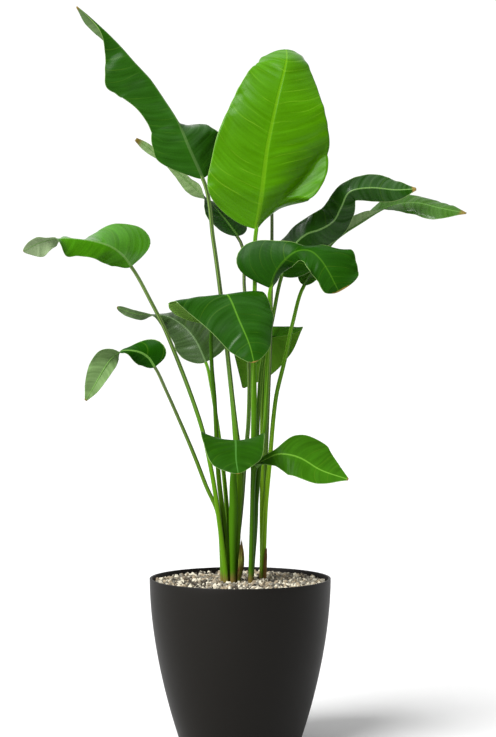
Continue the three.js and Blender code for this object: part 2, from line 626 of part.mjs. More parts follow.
function planterGeometry() {
  const outer = [0, ...LEVELS, SOIL_TOP].map((z) => [potRadius(z), z]);
  const inner = [GRAVEL_TOP, SOIL_TOP, ...LEVELS.toReversed()]
    .map((z) => [potRadius(z) - WALL, z]);
  return turned([
    [0, 0],
    ...outer,
    [RIM_RADIUS, POT_HEIGHT - 1.2],
    [RIM_RADIUS - 1.2, POT_HEIGHT],
    [RIM_RADIUS - WALL + 1.2, POT_HEIGHT],
    [RIM_RADIUS - WALL, POT_HEIGHT - 1.2],
    ...inner,
    [potRadius(FLOOR) - WALL, FLOOR],
    [0, FLOOR],
  ], POT_SEGMENTS);
}

function solidFrom(geometry) {
  const bare = new THREE.BufferGeometry();
  bare.setAttribute('position', geometry.getAttribute('position'));
  if (geometry.getIndex()) bare.setIndex(geometry.getIndex());
  const merged = mergeVertices(bare, 1e-4);
  return new Manifold(new SolidMesh({
    numProp: 3,
    vertProperties: merged.getAttribute('position').array,
    triVerts: new Uint32Array(merged.getIndex().array),
  }));
}

function geometryFrom(solid) {
  const mesh = solid.getMesh();
  const geometry = new THREE.BufferGeometry();
  geometry.setAttribute('position', new THREE.BufferAttribute(mesh.vertProperties, 3));
  geometry.setIndex(new THREE.BufferAttribute(mesh.triVerts, 1));
  geometry.computeVertexNormals();
  return geometry;
}

// A hole's outline is a circle, or a slot with round ends along Y.
function holeSolid({ at, reach, radius }, low, high) {
  const outline = new THREE.Shape();
  outline.absarc(at[0], at[1] + reach, radius, 0, Math.PI);
  outline.absarc(at[0], at[1] - reach, radius, Math.PI, 2 * Math.PI);
  const depth = high - low;
  const post = new THREE.ExtrudeGeometry(outline, { depth, bevelEnabled: false, curveSegments: 9 });
  post.translate(0, 0, low);
  return solidFrom(post);
}

function cutHoles(geometry, low) {
  let solid = solidFrom(geometry);
  for (const hole of Object.values(HOLES)) {
    solid = solid.subtract(holeSolid(hole, low, POT_HEIGHT + 20));
  }
  return geometryFrom(solid);
}

function soilGeometry() {
  const edge = (z) => [potRadius(z) - WALL - AIR, z];
  const body = turned([
    [0, FLOOR + AIR],
    [potRadius(FLOOR) - WALL - AIR, FLOOR + AIR],
    ...LEVELS.map(edge),
    edge(SOIL_TOP),
    [0, SOIL_TOP],
  ], POT_SEGMENTS);
  return cutHoles(body, STALK_FOOT - AIR);
}

// The same scattered value from -1 to 1 for the same number.
const scatter = (n) => 2 * ((Math.abs(Math.sin(n * 12.9898) * 43758.5453)) % 1) - 1;

// One layer of fused pebbles: a disc with a lumpy top.
function gravelGeometry() {
  const rings = 13;
  const radius = (i) => (i / rings) * (potRadius(GRAVEL_TOP) - WALL - AIR);
  const points = [[0, 0, GRAVEL_TOP + GRAVEL_MOUND]];
  const faces = [];
  const segments = POT_SEGMENTS;
  for (let i = 1; i <= rings; i++) {
    for (let k = 0; k < segments; k++) {
      const a = (2 * Math.PI * (k + (i < rings ? (i % 2) / 2 : 0))) / segments;
      const r = radius(i);
      const lump = i < rings ? scatter(i * segments + k) : 0;
      const z = GRAVEL_TOP + GRAVEL_MOUND * (1 - (r / RIM_RADIUS) ** 2) + GRAVEL_RELIEF * lump;
      points.push([r * Math.cos(a), r * Math.sin(a), z]);
    }
  }
  const floorStart = points.length;
  for (let k = 0; k < segments; k++) {
    const a = (2 * Math.PI * k) / segments;
    const r = potRadius(SOIL_TOP) - WALL - AIR;
    points.push([r * Math.cos(a), r * Math.sin(a), SOIL_TOP + AIR]);
  }
  points.push([0, 0, SOIL_TOP + AIR]);
  const centre = points.length - 1;
  const at = (i, k) => 1 + (i - 1) * segments + (k % segments);
  for (let k = 0; k < segments; k++) {
    faces.push([0, at(1, k), at(1, k + 1)]);
    for (let i = 1; i < rings; i++) {
      faces.push([at(i, k), at(i + 1, k), at(i + 1, k + 1)]);
      faces.push([at(i, k), at(i + 1, k + 1), at(i, k + 1)]);
    }
    const low = (j) => floorStart + (j % segments);
    faces.push([at(rings, k), low(k), low(k + 1)], [at(rings, k), low(k + 1), at(rings, k + 1)]);
    faces.push([centre, low(k + 1), low(k)]);
  }
  return cutHoles(orient(indexed(points, faces)), SOIL_TOP - 5);
}

// ---- dry sheaths -----------------------------------------------------------
// A thin brown gutter round one stalk, pointed at the top; it can stand
// off the stalk above the gravel.
const SHEATHS = {
  dry_sheath_left: { stalk: 'leaf_01', from: -80, to: 30, low: 300, high: 404, air: 1.2, bulge: 6 },
  dry_sheath_right: { stalk: 'leaf_13', from: -90, to: 0, low: 300, high: 383, air: 0.9, bulge: 0 },
};

function sheathGeometry({ stalk, from, to, low, high, air, bulge }) {
  const leaf = LEAVES[stalk];
  const line = stalkLine(leaf);
  const rows = 8;
  const cols = 6;
  const inner = [];
  const outer = [];
  for (let i = 0; i <= rows; i++) {
    const share = i / rows;
    const z = lerp(low, high, share);
    let t = 0;
    while (t < 1 && line.at(t)[2] < z) t += 0.002;
    const [x, y] = line.at(t);
    const radius = stalkRadius(leaf.stalk, t, z) + air;
    const narrow = share < 0.65 ? 1 : 1 - 0.45 * ((share - 0.65) / 0.35) ** 1.5;
    const middle = (from + to) / 2;
    const reach = ((to - from) / 2) * narrow;
    const row = (r) => Array.from({ length: cols + 1 }, (_, j) => {
      const a = radians(middle + reach * (1 - (2 * j) / cols));
      return [x + r * Math.cos(a), y + r * Math.sin(a), z];
    });
    const flare = 0.6 * share * share
      + bulge * Math.sin((Math.PI * Math.max(0, share - 0.25)) / 0.75) ** 1.5;
    inner.push(row(radius + flare));
    outer.push(row(radius + flare + 0.9));
  }
  return orient(sheetGeometry(inner, outer));
}

// ---- scene -----------------------------------------------------------------
const group = new THREE.Group();
group.name = 'potted_bird_of_paradise';

function add(name, geometry, skin) {
  const [color, roughness] = COLOURS[skin];
  const material = new THREE.MeshStandardMaterial({ color, roughness, metalness: 0 });
  material.name = skin;
  const mesh = new THREE.Mesh(geometry, material);
  mesh.name = name;
  group.add(mesh);
}

add('planter', planterGeometry(), 'planter');
add('potting_soil', soilGeometry(), 'soil');
add('gravel_top', gravelGeometry(), 'gravel');
for (const [name, sheath] of Object.entries(SHEATHS)) add(name, sheathGeometry(sheath), 'sheath');
for (const [name, leaf] of Object.entries(LEAVES)) {
  add(`${name}_stalk`, stalkGeometry(leaf), leaf.stalkSkin);
  add(`${name}_blade`, orient(bladeGeometry(leaf, leaf.stations ?? 17)), leaf.skin);
}

export default group;
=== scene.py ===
"""Potted bird of paradise: the looks of its planter, gravel, stalks and leaves."""
import math
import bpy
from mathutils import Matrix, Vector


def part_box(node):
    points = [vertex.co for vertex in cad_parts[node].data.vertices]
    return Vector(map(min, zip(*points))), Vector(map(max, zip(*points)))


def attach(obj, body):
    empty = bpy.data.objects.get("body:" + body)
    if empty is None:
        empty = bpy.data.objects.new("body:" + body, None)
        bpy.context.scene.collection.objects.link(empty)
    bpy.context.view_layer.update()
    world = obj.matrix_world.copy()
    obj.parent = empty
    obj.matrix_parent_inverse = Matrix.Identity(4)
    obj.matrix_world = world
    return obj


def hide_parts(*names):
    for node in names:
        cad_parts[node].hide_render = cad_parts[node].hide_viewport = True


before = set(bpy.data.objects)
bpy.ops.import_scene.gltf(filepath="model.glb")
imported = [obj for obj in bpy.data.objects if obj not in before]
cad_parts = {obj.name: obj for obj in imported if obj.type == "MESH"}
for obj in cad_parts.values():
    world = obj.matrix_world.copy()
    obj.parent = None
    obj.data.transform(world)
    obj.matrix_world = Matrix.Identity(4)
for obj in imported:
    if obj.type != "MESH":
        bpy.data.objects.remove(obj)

from types import SimpleNamespace

import bpy
import mathutils
import numpy as np
from bpy.props import (FloatProperty, FloatVectorProperty, IntProperty,
                       PointerProperty)

bl_info = {
    "name": "Potted bird of paradise",
    "version": (1, 0, 0),
    "blender": (4, 5, 0),
    "location": "View3D > Sidebar > Potted plant",
    "description": "Makes a potted bird of paradise, piece by piece",
    "category": "Object",
}

MM = 0.001
PLANTER_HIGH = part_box("planter")[1]
GRAVEL_LOW, GRAVEL_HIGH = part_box("gravel_top")


def tone(red, green, blue):
    """A colour as a screen shows it, 0 to 255, in the linear values of a shader."""
    def linear(c):
        c /= 255
        return c / 12.92 if c <= 0.04045 else ((c + 0.055) / 1.055) ** 2.4
    return tuple(linear(c) for c in (red, green, blue))


# ---- sizes of the plant, in millimetres ---------------------------------
STALK_FOOT = 258  # the stalks end this high, inside the soil
STALK_TAPER = 0.6  # below 1 a stalk thins most near its foot
SWELL_REACH = 80  # how far a swelling runs up and down its stalk
GRAVEL_TOP = 315
UPRIGHT = 3  # a stalk stands upright this far above the gravel
CUT = 0.3  # the air between a stalk and its blade
LEAF_THICK = 1
RIB_HALF = 3.4  # half width of the rib where the blade starts
RIB_DEPTH = 5.5  # how far the rib stands below the blade there
TIP_HALF = 1.1
LEAST_HALF = 0.5  # no half of a blade is narrower
WAVE_PHASE = 0.5
SIDE_PHASE = 1.7  # how far the right margin's wave is ahead of the left one's
CREASE_SOFT = 0.06  # share of the width over which a crease bends
CREASE_SAMPLES = 120
RIB_REACH = 1.25  # the close columns beside a rib reach this many of its half widths
RIB_THINS = 0.8  # below 1 a drawn rib thins most near the tip
SWELL_LENGTH, CRINKLE_LENGTH = 62, 15  # from one swelling of a margin to the next
LIP_PLACE = 0.25  # where a groove's lips stand, 0 in its middle and 1 behind

# ---- the stage, in metres -------------------------------------------------
KEY_PLACE = (-2.0, -1.8, 2.3)  # the key light looks from here to the origin
EYE_ASIDE = 0.015  # how far right of the middle the camera stands
FLOOR_HALF = 60


class Leaf:
    """One leaf. What it isn't told is as on most leaves."""
    base, tip, lead = 0.14, 0, 0
    wave, swell, crease = (2, 3), (0, 0), ()

    def __init__(self, **told):
        vars(self).update(told)


# Each row of a rib is one station from the blade's base to its tip: x, y, z,
# the way its upper face looks (x, y, z), the left fold at the rib and at the
# margin, the right fold at the rib and at the margin (degrees, up is
# positive), and the left and right widths. base and tip are the rounded
# shares of the length, lead slants the blade forward, and wave is a margin's
# amplitude and count. A crease's rows are a share of the length, the share of
# the width where it lies, the angles before and beyond it, and how far it is
# folded. stalk is a stalk's radius at the foot and at the top, swell how much
# thicker it gets and how high up, and way the points that it passes.
LEAVES = {
    "leaf_01": Leaf(base=0.16, lead=0.12, wave=(1, 2.5), stalk=(6.2, 3.8), swell=(3.2, 540),
                    foot=(-7.2, -20), way=[(-3, -22, 438), (-1, -23, 526), (-9, -22, 611),
                    (-19, -19, 707), (-34, -14, 842), (-52, -11, 977)], rib=[
        (-72, -10, 1096, 0.3, -1, 0.1, -20, -35, -10, -25, 26, 60),
        (-99, -12, 1156, 0.2, -1, 0.2, -25, -45, -10, -20, 70, 76),
        (-110, -8, 1183, 0.2, -1, 0.2, -25, -40, -15, -25, 68, 62),
        (-122, -5, 1211, 0.2, -1, 0.2, -25, -40, -80, -95, 58, 56),
        (-146, 4, 1249, 0.2, -1, 0.2, -15, -30, -95, -110, 54, 64),
        (-173, 10, 1289, 0.2, -1, 0.2, -15, -30, -95, -115, 66.5, 70),
        (-188, 12.6, 1306, 0.2, -1, 0.2, -15, -30, -97, -120, 70, 68),
        (-203, 15, 1322, 0.2, -1, 0.2, -15, -30, -100, -125, 74, 66),
        (-217, 17.5, 1338, 0.2, -1, 0.2, -15, -30, -102, -125, 58, 57),
        (-230, 20, 1353, 0.2, -1, 0.2, -20, -40, -105, -125, 43, 48),
        (-254, 24, 1378, 0.2, -1, 0.3, -10, -20, -115, -125, 17, 22),
        (-274, 27, 1397, 0.2, -1, 0.3, 20, 10, -120, -125, 6, 20),
        (-297, 29, 1418, 0.2, -1, 0.3, 40, 40, -120, -125, 4, 18),
        (-319, 30, 1436, 0.2, -1, 0.3, 40, 40, -110, -110, 2, 4),
    ]),
    "leaf_02": Leaf(base=0.2, tip=0.25, lead=0.08, wave=(3, 3), stalk=(5.6, 4), swell=(1.8, 650),
                    foot=(20.6, -20), way=[(24, -20, 476), (26, -22, 611), (26, -22, 736),
                    (28, -23, 887)], crease=[(0.1, 0.4, -60, -40, 0), (0.16, 0.5, -60, 15, 1),
                    (0.275, 0.7, -56, 18, 1), (0.4, 0.9, -50, 10, 1), (0.48, 1, -30, -10, 0)],
                    rib=[
        (31, -28, 996, 0, -1, 0.1, 0, -10, -60, -90, 96, 36),
        (36, -32, 1026, 0, -1, 0.1, 0, -10, -30, -85, 106, 64),
        (42, -38, 1070, 0, -1, 0.1, 0, -10, -5, -70, 108, 112),
        (47, -37, 1113, 0, -1, 0.1, 0, -10, -2, -48, 104, 131),
        (53, -34, 1157, 0, -1, 0.1, 0, -10, 0, -25, 99, 126),
        (71, -22, 1245, 0, -1, 0.1, 0, -10, 0, -15, 80, 92),
        (89, 5, 1323, 0, -1, 0.5, -5, -25, -5, -35, 62, 53),
        (89, 36, 1353, 0, 0, 1, -5, -35, -5, -35, 62, 42),
        (86, 62, 1337, 0, 1, 0.6, 0, -20, 0, -20, 30, 30),
    ]),
    "leaf_03": Leaf(stalk=(6.2, 3.2), foot=(-13.6, -8.9), way=[(2, -2, 465), (9, 8, 552),
                    (16, 16, 629), (17, 28, 736), (8, 45, 885)], rib=[
        (-5, 60, 990, 0.3, -0.6, 1, 0, 20, 0, -20, 56, 60),
        (-36, 75, 1031, 0.3, -0.5, 1, 0, 20, 0, -20, 54, 60),
        (-66, 90, 1066, 0.3, 0, 1, 0, 0, 0, 0, 26, 34),
        (-101, 100, 1099, 0.2, 0.8, 0.8, 0, 0, 0, 0, 12, 22),
        (-148, 98, 1140, 0.1, 1, 0.6, 0, 0, 0, 0, 5, 6),
        (-186, 93, 1170, 0, 1, 0.6, 0, 0, 0, 0, 8, 11),
        (-208, 90, 1185, 0, 1, 0.6, 0, 0, 0, 0, 3, 4),
    ]),
    "leaf_04": Leaf(tip=0.1, lead=0.1, wave=(1.5, 3), stalk=(6.2, 3.4), foot=(-26.4, -31.1),
                    way=[(-40, -36, 439), (-55, -36, 535), (-78, -33, 631), (-137, -38, 788),
                    (-172, -41, 860)], rib=[
        (-208, -40, 924, 0, -1, 0.3, -10, -30, 10, 10, 24, 72),
        (-222, -50, 943, 0, -1, 0.3, -10, -30, 0, -10, 30, 68),
        (-243, -60, 959, 0, -1, 0.4, -10, -30, -10, -30, 34, 60),
        (-269, -70, 968, 0, -1, 0.5, -10, -20, -30, -60, 34, 45),
        (-302, -80, 973, 0, -1, 0.6, -10, -20, -60, -70, 34, 32),
        (-328, -86, 974, 0, -0.9, 0.7, -10, -20, -30, -50, 36, 21),
        (-350, -91, 972, 0, 0.4, 0.8, -10, -20, -45, -55, 12, 15),
        (-379, -94, 964, 0, 0.9, 0.5, -10, -20, -10, -20, 14, 27),
        (-407, -95, 949, 0, 0.9, 0.5, 0, 0, 0, 0, 8, 12),
    ]),
    "leaf_05": Leaf(lead=0.1, wave=(1.5, 3), stalk=(6.2, 3), foot=(-32.8, -20),
                    way=[(-42, -26, 448), (-65, -32, 504), (-88, -40, 564), (-116, -48, 631),
                    (-141, -56, 688)], rib=[
        (-162, -60, 732, 0, -1, 0.2, -10, -30, 10, 10, 22, 42),
        (-174, -66, 750, 0, -1, 0.2, -10, -30, 0, 0, 24, 38),
        (-193, -74, 761, 0, -1, 0.5, -20, -40, -20, -50, 20, 26),
        (-220, -85, 763, 0, -0.3, 1, -20, -30, -20, -30, 10, 15),
        (-234, -90, 755, 0, 0.6, 0.8, -10, -20, -20, -30, 25, 12),
        (-246, -94, 742, 0, 1, 0.4, 0, -10, -20, -30, 29, 17),
        (-260, -100, 719, 0, 1, 0.2, 0, -10, -20, -30, 27, 17),
        (-275, -104, 692, 0, 1, 0.2, 0, -10, -20, -20, 17, 12),
        (-289, -105, 669, 0, 1, 0.2, 0, 0, 0, 0, 2, 2),
    ]),
    "leaf_06": Leaf(tip=0.06, lead=0.1, stalk=(6.2, 3.2), foot=(-26.4, -8.9),
                    way=[(-25, -2, 436), (-32, 8, 524), (-43, 24, 609), (-59, 42, 706)], rib=[
        (-68, 50, 742, 0, -1, 0.5, -10, -30, 0, 0, 32, 60),
        (-86, 60, 781, 0, -1, 0.5, -20, -40, 0, 0, 46, 66),
        (-106, 70, 807, 0, -1, 0.6, -20, -50, 0, 0, 40, 66),
        (-136, 80, 829, 0, -1, 0.8, -30, -60, -20, -30, 28, 48),
        (-164, 87, 836, 0, -0.4, 1.5, -10, -20, -10, -20, 14, 24),
        (-208, 93, 838, 0, 1, 0.8, 0, 0, 0, 0, 9, 12),
        (-246, 96, 851, 0, 1, 0.8, 0, 0, 0, 0, 6, 9),
    ]),
    "leaf_07": Leaf(tip=0.14, wave=(1.5, 3), stalk=(6.2, 3.6), foot=(-20, -20),
                    way=[(-32, -18, 438), (-42, -17, 526), (-49, -20, 668), (-55, -28, 747)],
                    rib=[
        (-52, -42, 814, 0, 0.6, 1, 0, -10, 0, -40, 70, 104),
        (-37, -64, 855, 0, 0.3, 1, 0, -10, 0, -25, 72, 112),
        (-24, -96, 867, -0.1, -0.5, 1, 0, -20, 10, 0, 74, 100),
        (0, -134, 815, 0, -1, 0.6, 0, -30, 0, -10, 70, 57),
        (18, -150, 772, 0, -1, 0.4, 0, -40, 0, -20, 46, 38),
        (26, -156, 740, 0, -1, 0.3, 0, 0, 0, 0, 26, 22),
    ]),
    "leaf_08": Leaf(stalk=(5.6, 3.4), foot=(21.4, 4.2), way=[(30, 10, 435), (32, 24, 551),
                    (36, 42, 667), (42, 52, 736)], rib=[
        (56, 62, 791, 0, -0.2, 1, 0, 0, 0, 0, 46, 54),
        (60, 88, 812, 0, 0.1, 1, 0, 0, 0, 0, 50, 64),
        (58, 112, 804, 0, 0.7, 0.8, 0, 0, 0, 0, 64, 62),
        (50, 124, 780, 0, 1, 0.3, 0, 0, 0, 0, 76, 56),
        (29, 130, 734, 0, 1, 0.2, 0, 0, 0, 0, 46, 38),
        (5, 134, 690, 0, 1, 0.2, 0, 0, 0, 0, 2, 2),
    ]),
    "leaf_09": Leaf(base=0.1, stalk=(5.8, 3.6), foot=(43.2, 34.2), way=[(42, 32, 433),
                    (42, 24, 551), (43, 14, 668), (48, 12, 746), (65, 16, 837)], rib=[
        (80, 22, 909, -0.2, -1, 0.3, -10, -20, -20, -30, 40, 50),
        (91, 26, 944, -0.2, -1, 0.3, -10, -20, -20, -30, 44, 54),
        (109, 31, 974, -0.3, -1, 0.3, -20, -30, -20, -30, 38, 52),
        (130, 36, 992, -0.3, -1, 0.4, -10, -20, -30, -50, 38, 42),
        (158, 40, 1002, -0.3, -1, 0.4, 0, 0, -40, -60, 38, 38),
        (183, 38, 1018, -0.3, -1, 0.4, 0, 0, -50, -70, 38, 36),
        (197, 32, 1044, -0.3, -1, 0.5, 0, 0, -50, -60, 33, 32),
        (213, 26, 1073, 0, -1, 0.5, -10, -20, -50, -60, 28, 24),
        (253, 24, 1081, 0, -1, 0.5, -10, -20, -50, -60, 38, 28),
        (303, 24, 1077, 0, -1, 0.5, -10, -20, -30, -40, 28, 22),
        (343, 24, 1079, 0, -1, 0.5, -20, -20, -20, -20, 3, 3),
    ]),
    "leaf_10": Leaf(wave=(3, 3), stalk=(5.8, 3.2), foot=(42.4, 46.4), way=[(45, 47, 432),
                    (52, 48, 608), (58, 52, 765), (61, 60, 903)], rib=[
        (62, 65, 1049, 0, -0.9, 0.4, 15, 10, 15, 10, 56, 56),
        (61, 85, 1119, 0, -0.9, 0.5, 15, 10, 15, 10, 64, 64),
        (59, 125, 1184, 0, -0.6, 0.9, 5, -10, 5, -10, 60, 60),
        (56, 185, 1225, 0, 0, 1, -5, -20, -5, -20, 40, 40),
        (53, 262, 1227, 0, 0.5, 1, -10, -20, -10, -20, 4, 4),
    ]),
    "leaf_11": Leaf(tip=0.2, wave=(1, 3), stalk=(6.2, 3.6), swell=(4.5, 460),
                    foot=(-13.6, -31.1), way=[(-14, -36, 401), (-12.5, -41, 468),
                    (-13, -45, 526)], rib=[
        (-8, -46, 569, 0, 0.2, 1, 0, 30, 0, 30, 42, 52),
        (-9, -68, 593, 0, -0.1, 1, 0, 30, 0, 30, 56, 68),
        (-8, -100, 584, 0, -0.5, 1, 0, 20, 0, 20, 54, 62),
        (-7, -134, 559, 0, -0.7, 0.7, 0, 0, 0, 0, 46, 48),
        (-3, -154, 535, 0, -0.9, 0.5, 0, 0, 0, 0, 20, 20),
    ]),
    "leaf_12": Leaf(lead=-0.1, stalk=(5.8, 3.6), foot=(20, -34.2), way=[(22, -35, 401),
                    (23, -36, 468), (26, -36, 516)], rib=[
        (30, -36, 543, 0, -0.6, 1, 50, 50, 50, 50, 8, 10),
        (49, -46, 555, 0, -0.8, 0.8, 30, 30, 30, 30, 9, 18),
        (72, -56, 566, 0, -1, 0.6, 10, 0, 10, 0, 14, 28),
        (95, -62, 565, 0, -1, 0.6, 0, -10, 0, -10, 44, 36),
        (117, -68, 558, 0, -1, 0.6, 0, -10, 0, -10, 54, 40),
        (153, -78, 537, 0, -1, 0.6, 0, -10, 0, -10, 48, 30),
        (204, -86, 520, 0, -1, 0.6, 0, 0, 0, 0, 2, 2),
    ]),
    "leaf_13": Leaf(base=0.1, stalk=(5.8, 3.6), foot=(44, 22), way=[(49, 24, 453), (56, 26, 531),
                    (69, 30, 668), (87, 36, 746), (103, 44, 820)], rib=[
        (125, 52, 893, -0.2, -1, 0.6, 10, 0, 10, 0, 26, 22),
        (154, 84, 940, -0.2, -0.5, 1, 20, 10, 25, 20, 28, 26),
        (189, 112, 986, -0.1, 0.1, 1, 20, 20, 45, 45, 24, 26),
        (240, 120, 1021, -0.1, 0.1, 1, 20, 20, 45, 40, 28, 26),
        (295, 108, 1052, -0.1, -0.6, 1.2, 20, 20, 15, 0, 30, 30),
        (346, 86, 1058, 0.2, -1, 1, 0, -20, 0, -20, 33, 30),
        (393, 62, 1045, 0.2, -1, 1, 0, -20, 0, -20, 30, 33),
        (443, 44, 1033, 0.2, -1, 1, 0, 0, 0, 0, 2, 2),
    ]),
    "leaf_14": Leaf(base=0.16, tip=0.06, lead=0.28, wave=(3, 3), stalk=(5.6, 3.8),
                    foot=(19.4, -7.6), way=[(31, -7, 475), (38, -10, 553), (47, -18, 620),
                    (50, -26, 678), (53, -38, 764), (58, -46, 831)], rib=[
        (58, -48, 882, 0, -1, 0.2, 0, -10, -60, -70, 84, 20),
        (68, -52, 912, -0.05, -1, 0.3, 0, -10, -60, -70, 84, 22),
        (87, -61, 937, -0.1, -1, 0.4, 0, -10, -30, -40, 40, 20),
        (108, -74, 951, 0, -0.9, 0.8, -10, -40, -10, -20, 23, 22),
        (132, -88, 950, 0, -0.9, 0.8, 0, -20, -10, -20, 34, 29),
        (150, -102, 934, 0, -1, 0.5, 0, -20, 0, -20, 63, 31),
        (166, -112, 909, 0, -1, 0.3, 0, -20, 0, -20, 56, 27),
        (177, -116, 887, 0, -1, 0, 0, -20, 0, -20, 50, 26),
        (185, -113, 872, 0, -1, -0.4, 0, 0, 0, 0, 42, 20),
    ]),
}


# ---- curves and surfaces -------------------------------------------------
def unit(rows):
    return rows / np.maximum(np.linalg.norm(rows, axis=-1, keepdims=True), 1e-12)


def reach_of(points):
    """How far along a line each of its points lies."""
    steps = np.linalg.norm(np.diff(points, axis=0), axis=1)
    return np.concatenate(([0.0], np.cumsum(steps)))


def curve(keys, rows, t, last_slope=None):
    """Cubic Hermite curve through rows of values, tangents from the neighbours."""
    last = len(rows) - 1
    here = np.arange(last + 1)
    a, b = np.maximum(here - 1, 0), np.minimum(here + 1, last)
    slopes = (rows[b] - rows[a]) / (keys[b] - keys[a])[:, None]
    if last_slope is not None:
        slopes[last] = last_slope
    i = np.clip(np.searchsorted(keys, t, side="right") - 1, 0, last - 1)
    h = (keys[i + 1] - keys[i])[:, None]
    s = (t - keys[i])[:, None] / h
    return ((2 * s**3 - 3 * s**2 + 1) * rows[i] + (s**3 - 2 * s**2 + s) * h * slopes[i]
            + (3 * s**2 - 2 * s**3) * rows[i + 1] + (s**3 - s**2) * h * slopes[i + 1])


def rounding(u, base, tip):
    """0 at a rounded end, 1 along the rest."""
    a = 1 - np.minimum(1, u / base) if base > 0 else np.zeros_like(u)
    b = 1 - np.minimum(1, (1 - u) / tip) if tip > 0 else np.zeros_like(u)
    return np.sqrt(np.maximum(0, 1 - a * a)) * np.sqrt(np.maximum(0, 1 - b * b))


def blade_frames(leaf, u):
    """The rib's line, its directions, folds and widths at the shares u."""
    rows = np.array(leaf.rib, float)
    reach = reach_of(rows[:, :3])
    keys = reach / reach[-1]
    row = curve(keys, rows, u)
    step = 1e-3
    ahead = curve(keys, rows, np.minimum(u + step, 1))[:, :3]
    behind = curve(keys, rows, np.maximum(u - step, 0))[:, :3]
    along = unit(ahead - behind)
    hint = row[:, 3:6]
    face = unit(hint - (hint * along).sum(1, keepdims=True) * along)
    end = RIB_HALF + (TIP_HALF - RIB_HALF) * u
    wide = np.maximum(row[:, 10:], LEAST_HALF) * rounding(u, leaf.base, leaf.tip)[:, None]
    return SimpleNamespace(at=row[:, :3], along=along, face=face, left=np.cross(face, along),
                           fold=np.radians(row[:, 6:10]), width=np.hypot(wide, end[:, None]))


def creased(rows, u, fold, v):
    """How far out and up a creased right half has come at the shares v."""
    rows = np.array(rows)
    place, steep, flat, folded = (np.interp(u, rows[:, 0], column)[:, None]
                                  for column in rows.T[1:])
    here = (np.arange(CREASE_SAMPLES + 1) / CREASE_SAMPLES)[None]
    beyond = np.clip((here - place) / CREASE_SOFT + 0.5, 0, 1)
    a0, a1 = fold[:, 2:3], fold[:, 3:4]
    before = a0 + (np.radians(steep) - a0) * np.minimum(1, here / place) ** 1.5
    plain = a0 + (a1 - a0) * here
    angle = plain + (before + (np.radians(flat) - before) * beyond - plain) * folded
    for part in (np.cos(angle), np.sin(angle)):
        sums = np.cumsum((part[:, 1:] + part[:, :-1]) / (2 * CREASE_SAMPLES), axis=1)
        sums = np.pad(sums, ((0, 0), (1, 0)))
        yield np.array([np.interp(v[i], here[0], sums[i]) for i in range(len(u))])


def blade_points(leaf, f, u, side, v):
    """Points of a blade's middle surface: side 0 is left, 1 is right."""
    a0, a1 = (f.fold[:, 2 * side + k, None] for k in (0, 1))
    w = f.width[:, side, None] * v
    d = (a1 - a0) * v
    d = np.where(np.abs(d) < 1e-4, 1e-4, d)
    out = w * (np.sin(a0 + d) - np.sin(a0)) / d
    up = w * (np.cos(a0) - np.cos(a0 + d)) / d
    if side and leaf.crease:
        out, up = (f.width[:, 1, None] * way for way in creased(leaf.crease, u, f.fold, v))
    size, count = leaf.wave
    bell = np.sin(np.pi * u)[:, None]
    wave = np.sin(2 * np.pi * count * u + WAVE_PHASE + SIDE_PHASE * side)[:, None]
    up = up + size * v * v * wave * bell
    out = out * (1 - 2 * side)
    lead = leaf.lead * w * bell
    return (f.at[:, None] + out[..., None] * f.left[:, None]
            + up[..., None] * f.face[:, None] + lead[..., None] * f.along[:, None])


def stalk_line(leaf, t):
    """The middle line of a stalk at the shares t, its end and the blade's ways there."""
    f = blade_frames(leaf, np.zeros(1))
    at, face, along = f.at[0], f.face[0], f.along[0]
    end = at - face * (RIB_DEPTH - LEAF_THICK) / 2 - along * CUT
    x, y = leaf.foot
    points = np.array([(x, y, STALK_FOOT), (x, y, GRAVEL_TOP + UPRIGHT), *leaf.way, tuple(end)])
    reach = reach_of(points)
    return curve(reach / reach[-1], points, t, along * reach[-1]), end, along, face


def stalk_radius(leaf, t, z):
    (foot, top), (swell, high) = leaf.stalk, leaf.swell
    return (foot + (top - foot) * t ** STALK_TAPER
            + swell * np.exp(-((z - high) / SWELL_REACH) ** 2))


def wander(x, spacing, rng, knots=4096, start=300):
    """Smooth random heights from -1 to 1 along x, a new one every spacing."""
    heights = rng.uniform(-1, 1, knots)
    k = x / spacing + start
    i = np.floor(k).astype(int)
    s = smooth(k - i, 0, 1)
    return heights[i % knots] * (1 - s) + heights[(i + 1) % knots] * s


def smooth(x, low, high):
    t = np.clip((x - low) / (high - low), 0, 1)
    return t * t * (3 - 2 * t)


def pot_radius(s, z):
    return s.rim_radius - (s.rim_radius - s.foot_radius) * (1 - z / s.height) ** s.belly


# ---- meshes ----------------------------------------------------------------
def link(name, data):
    """A new object in the scene, at the origin."""
    thing = bpy.data.objects.new(name, data)
    bpy.context.scene.collection.objects.link(thing)
    return thing


def store(mesh, name, values):
    """Keeps a number or a vector for each point of a mesh."""
    values = np.asarray(values, np.float32)
    kind, field = ("FLOAT", "value") if values.ndim == 1 else ("FLOAT_VECTOR", "vector")
    mesh.attributes.new(name, kind, "POINT").data.foreach_set(field, values.ravel())


def new_piece(name, points, faces, material):
    """A smooth mesh object, from points in metres."""
    mesh = bpy.data.meshes.new(name)
    mesh.from_pydata(points, [], faces, shade_flat=False)
    mesh.materials.append(material)
    return link(name, mesh)


def stand_for(piece, slot, *nodes):
    """Rides on the plant and replaces its CAD nodes; its slot, the record's finish, is not used."""
    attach(piece, "root")
    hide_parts(*nodes)


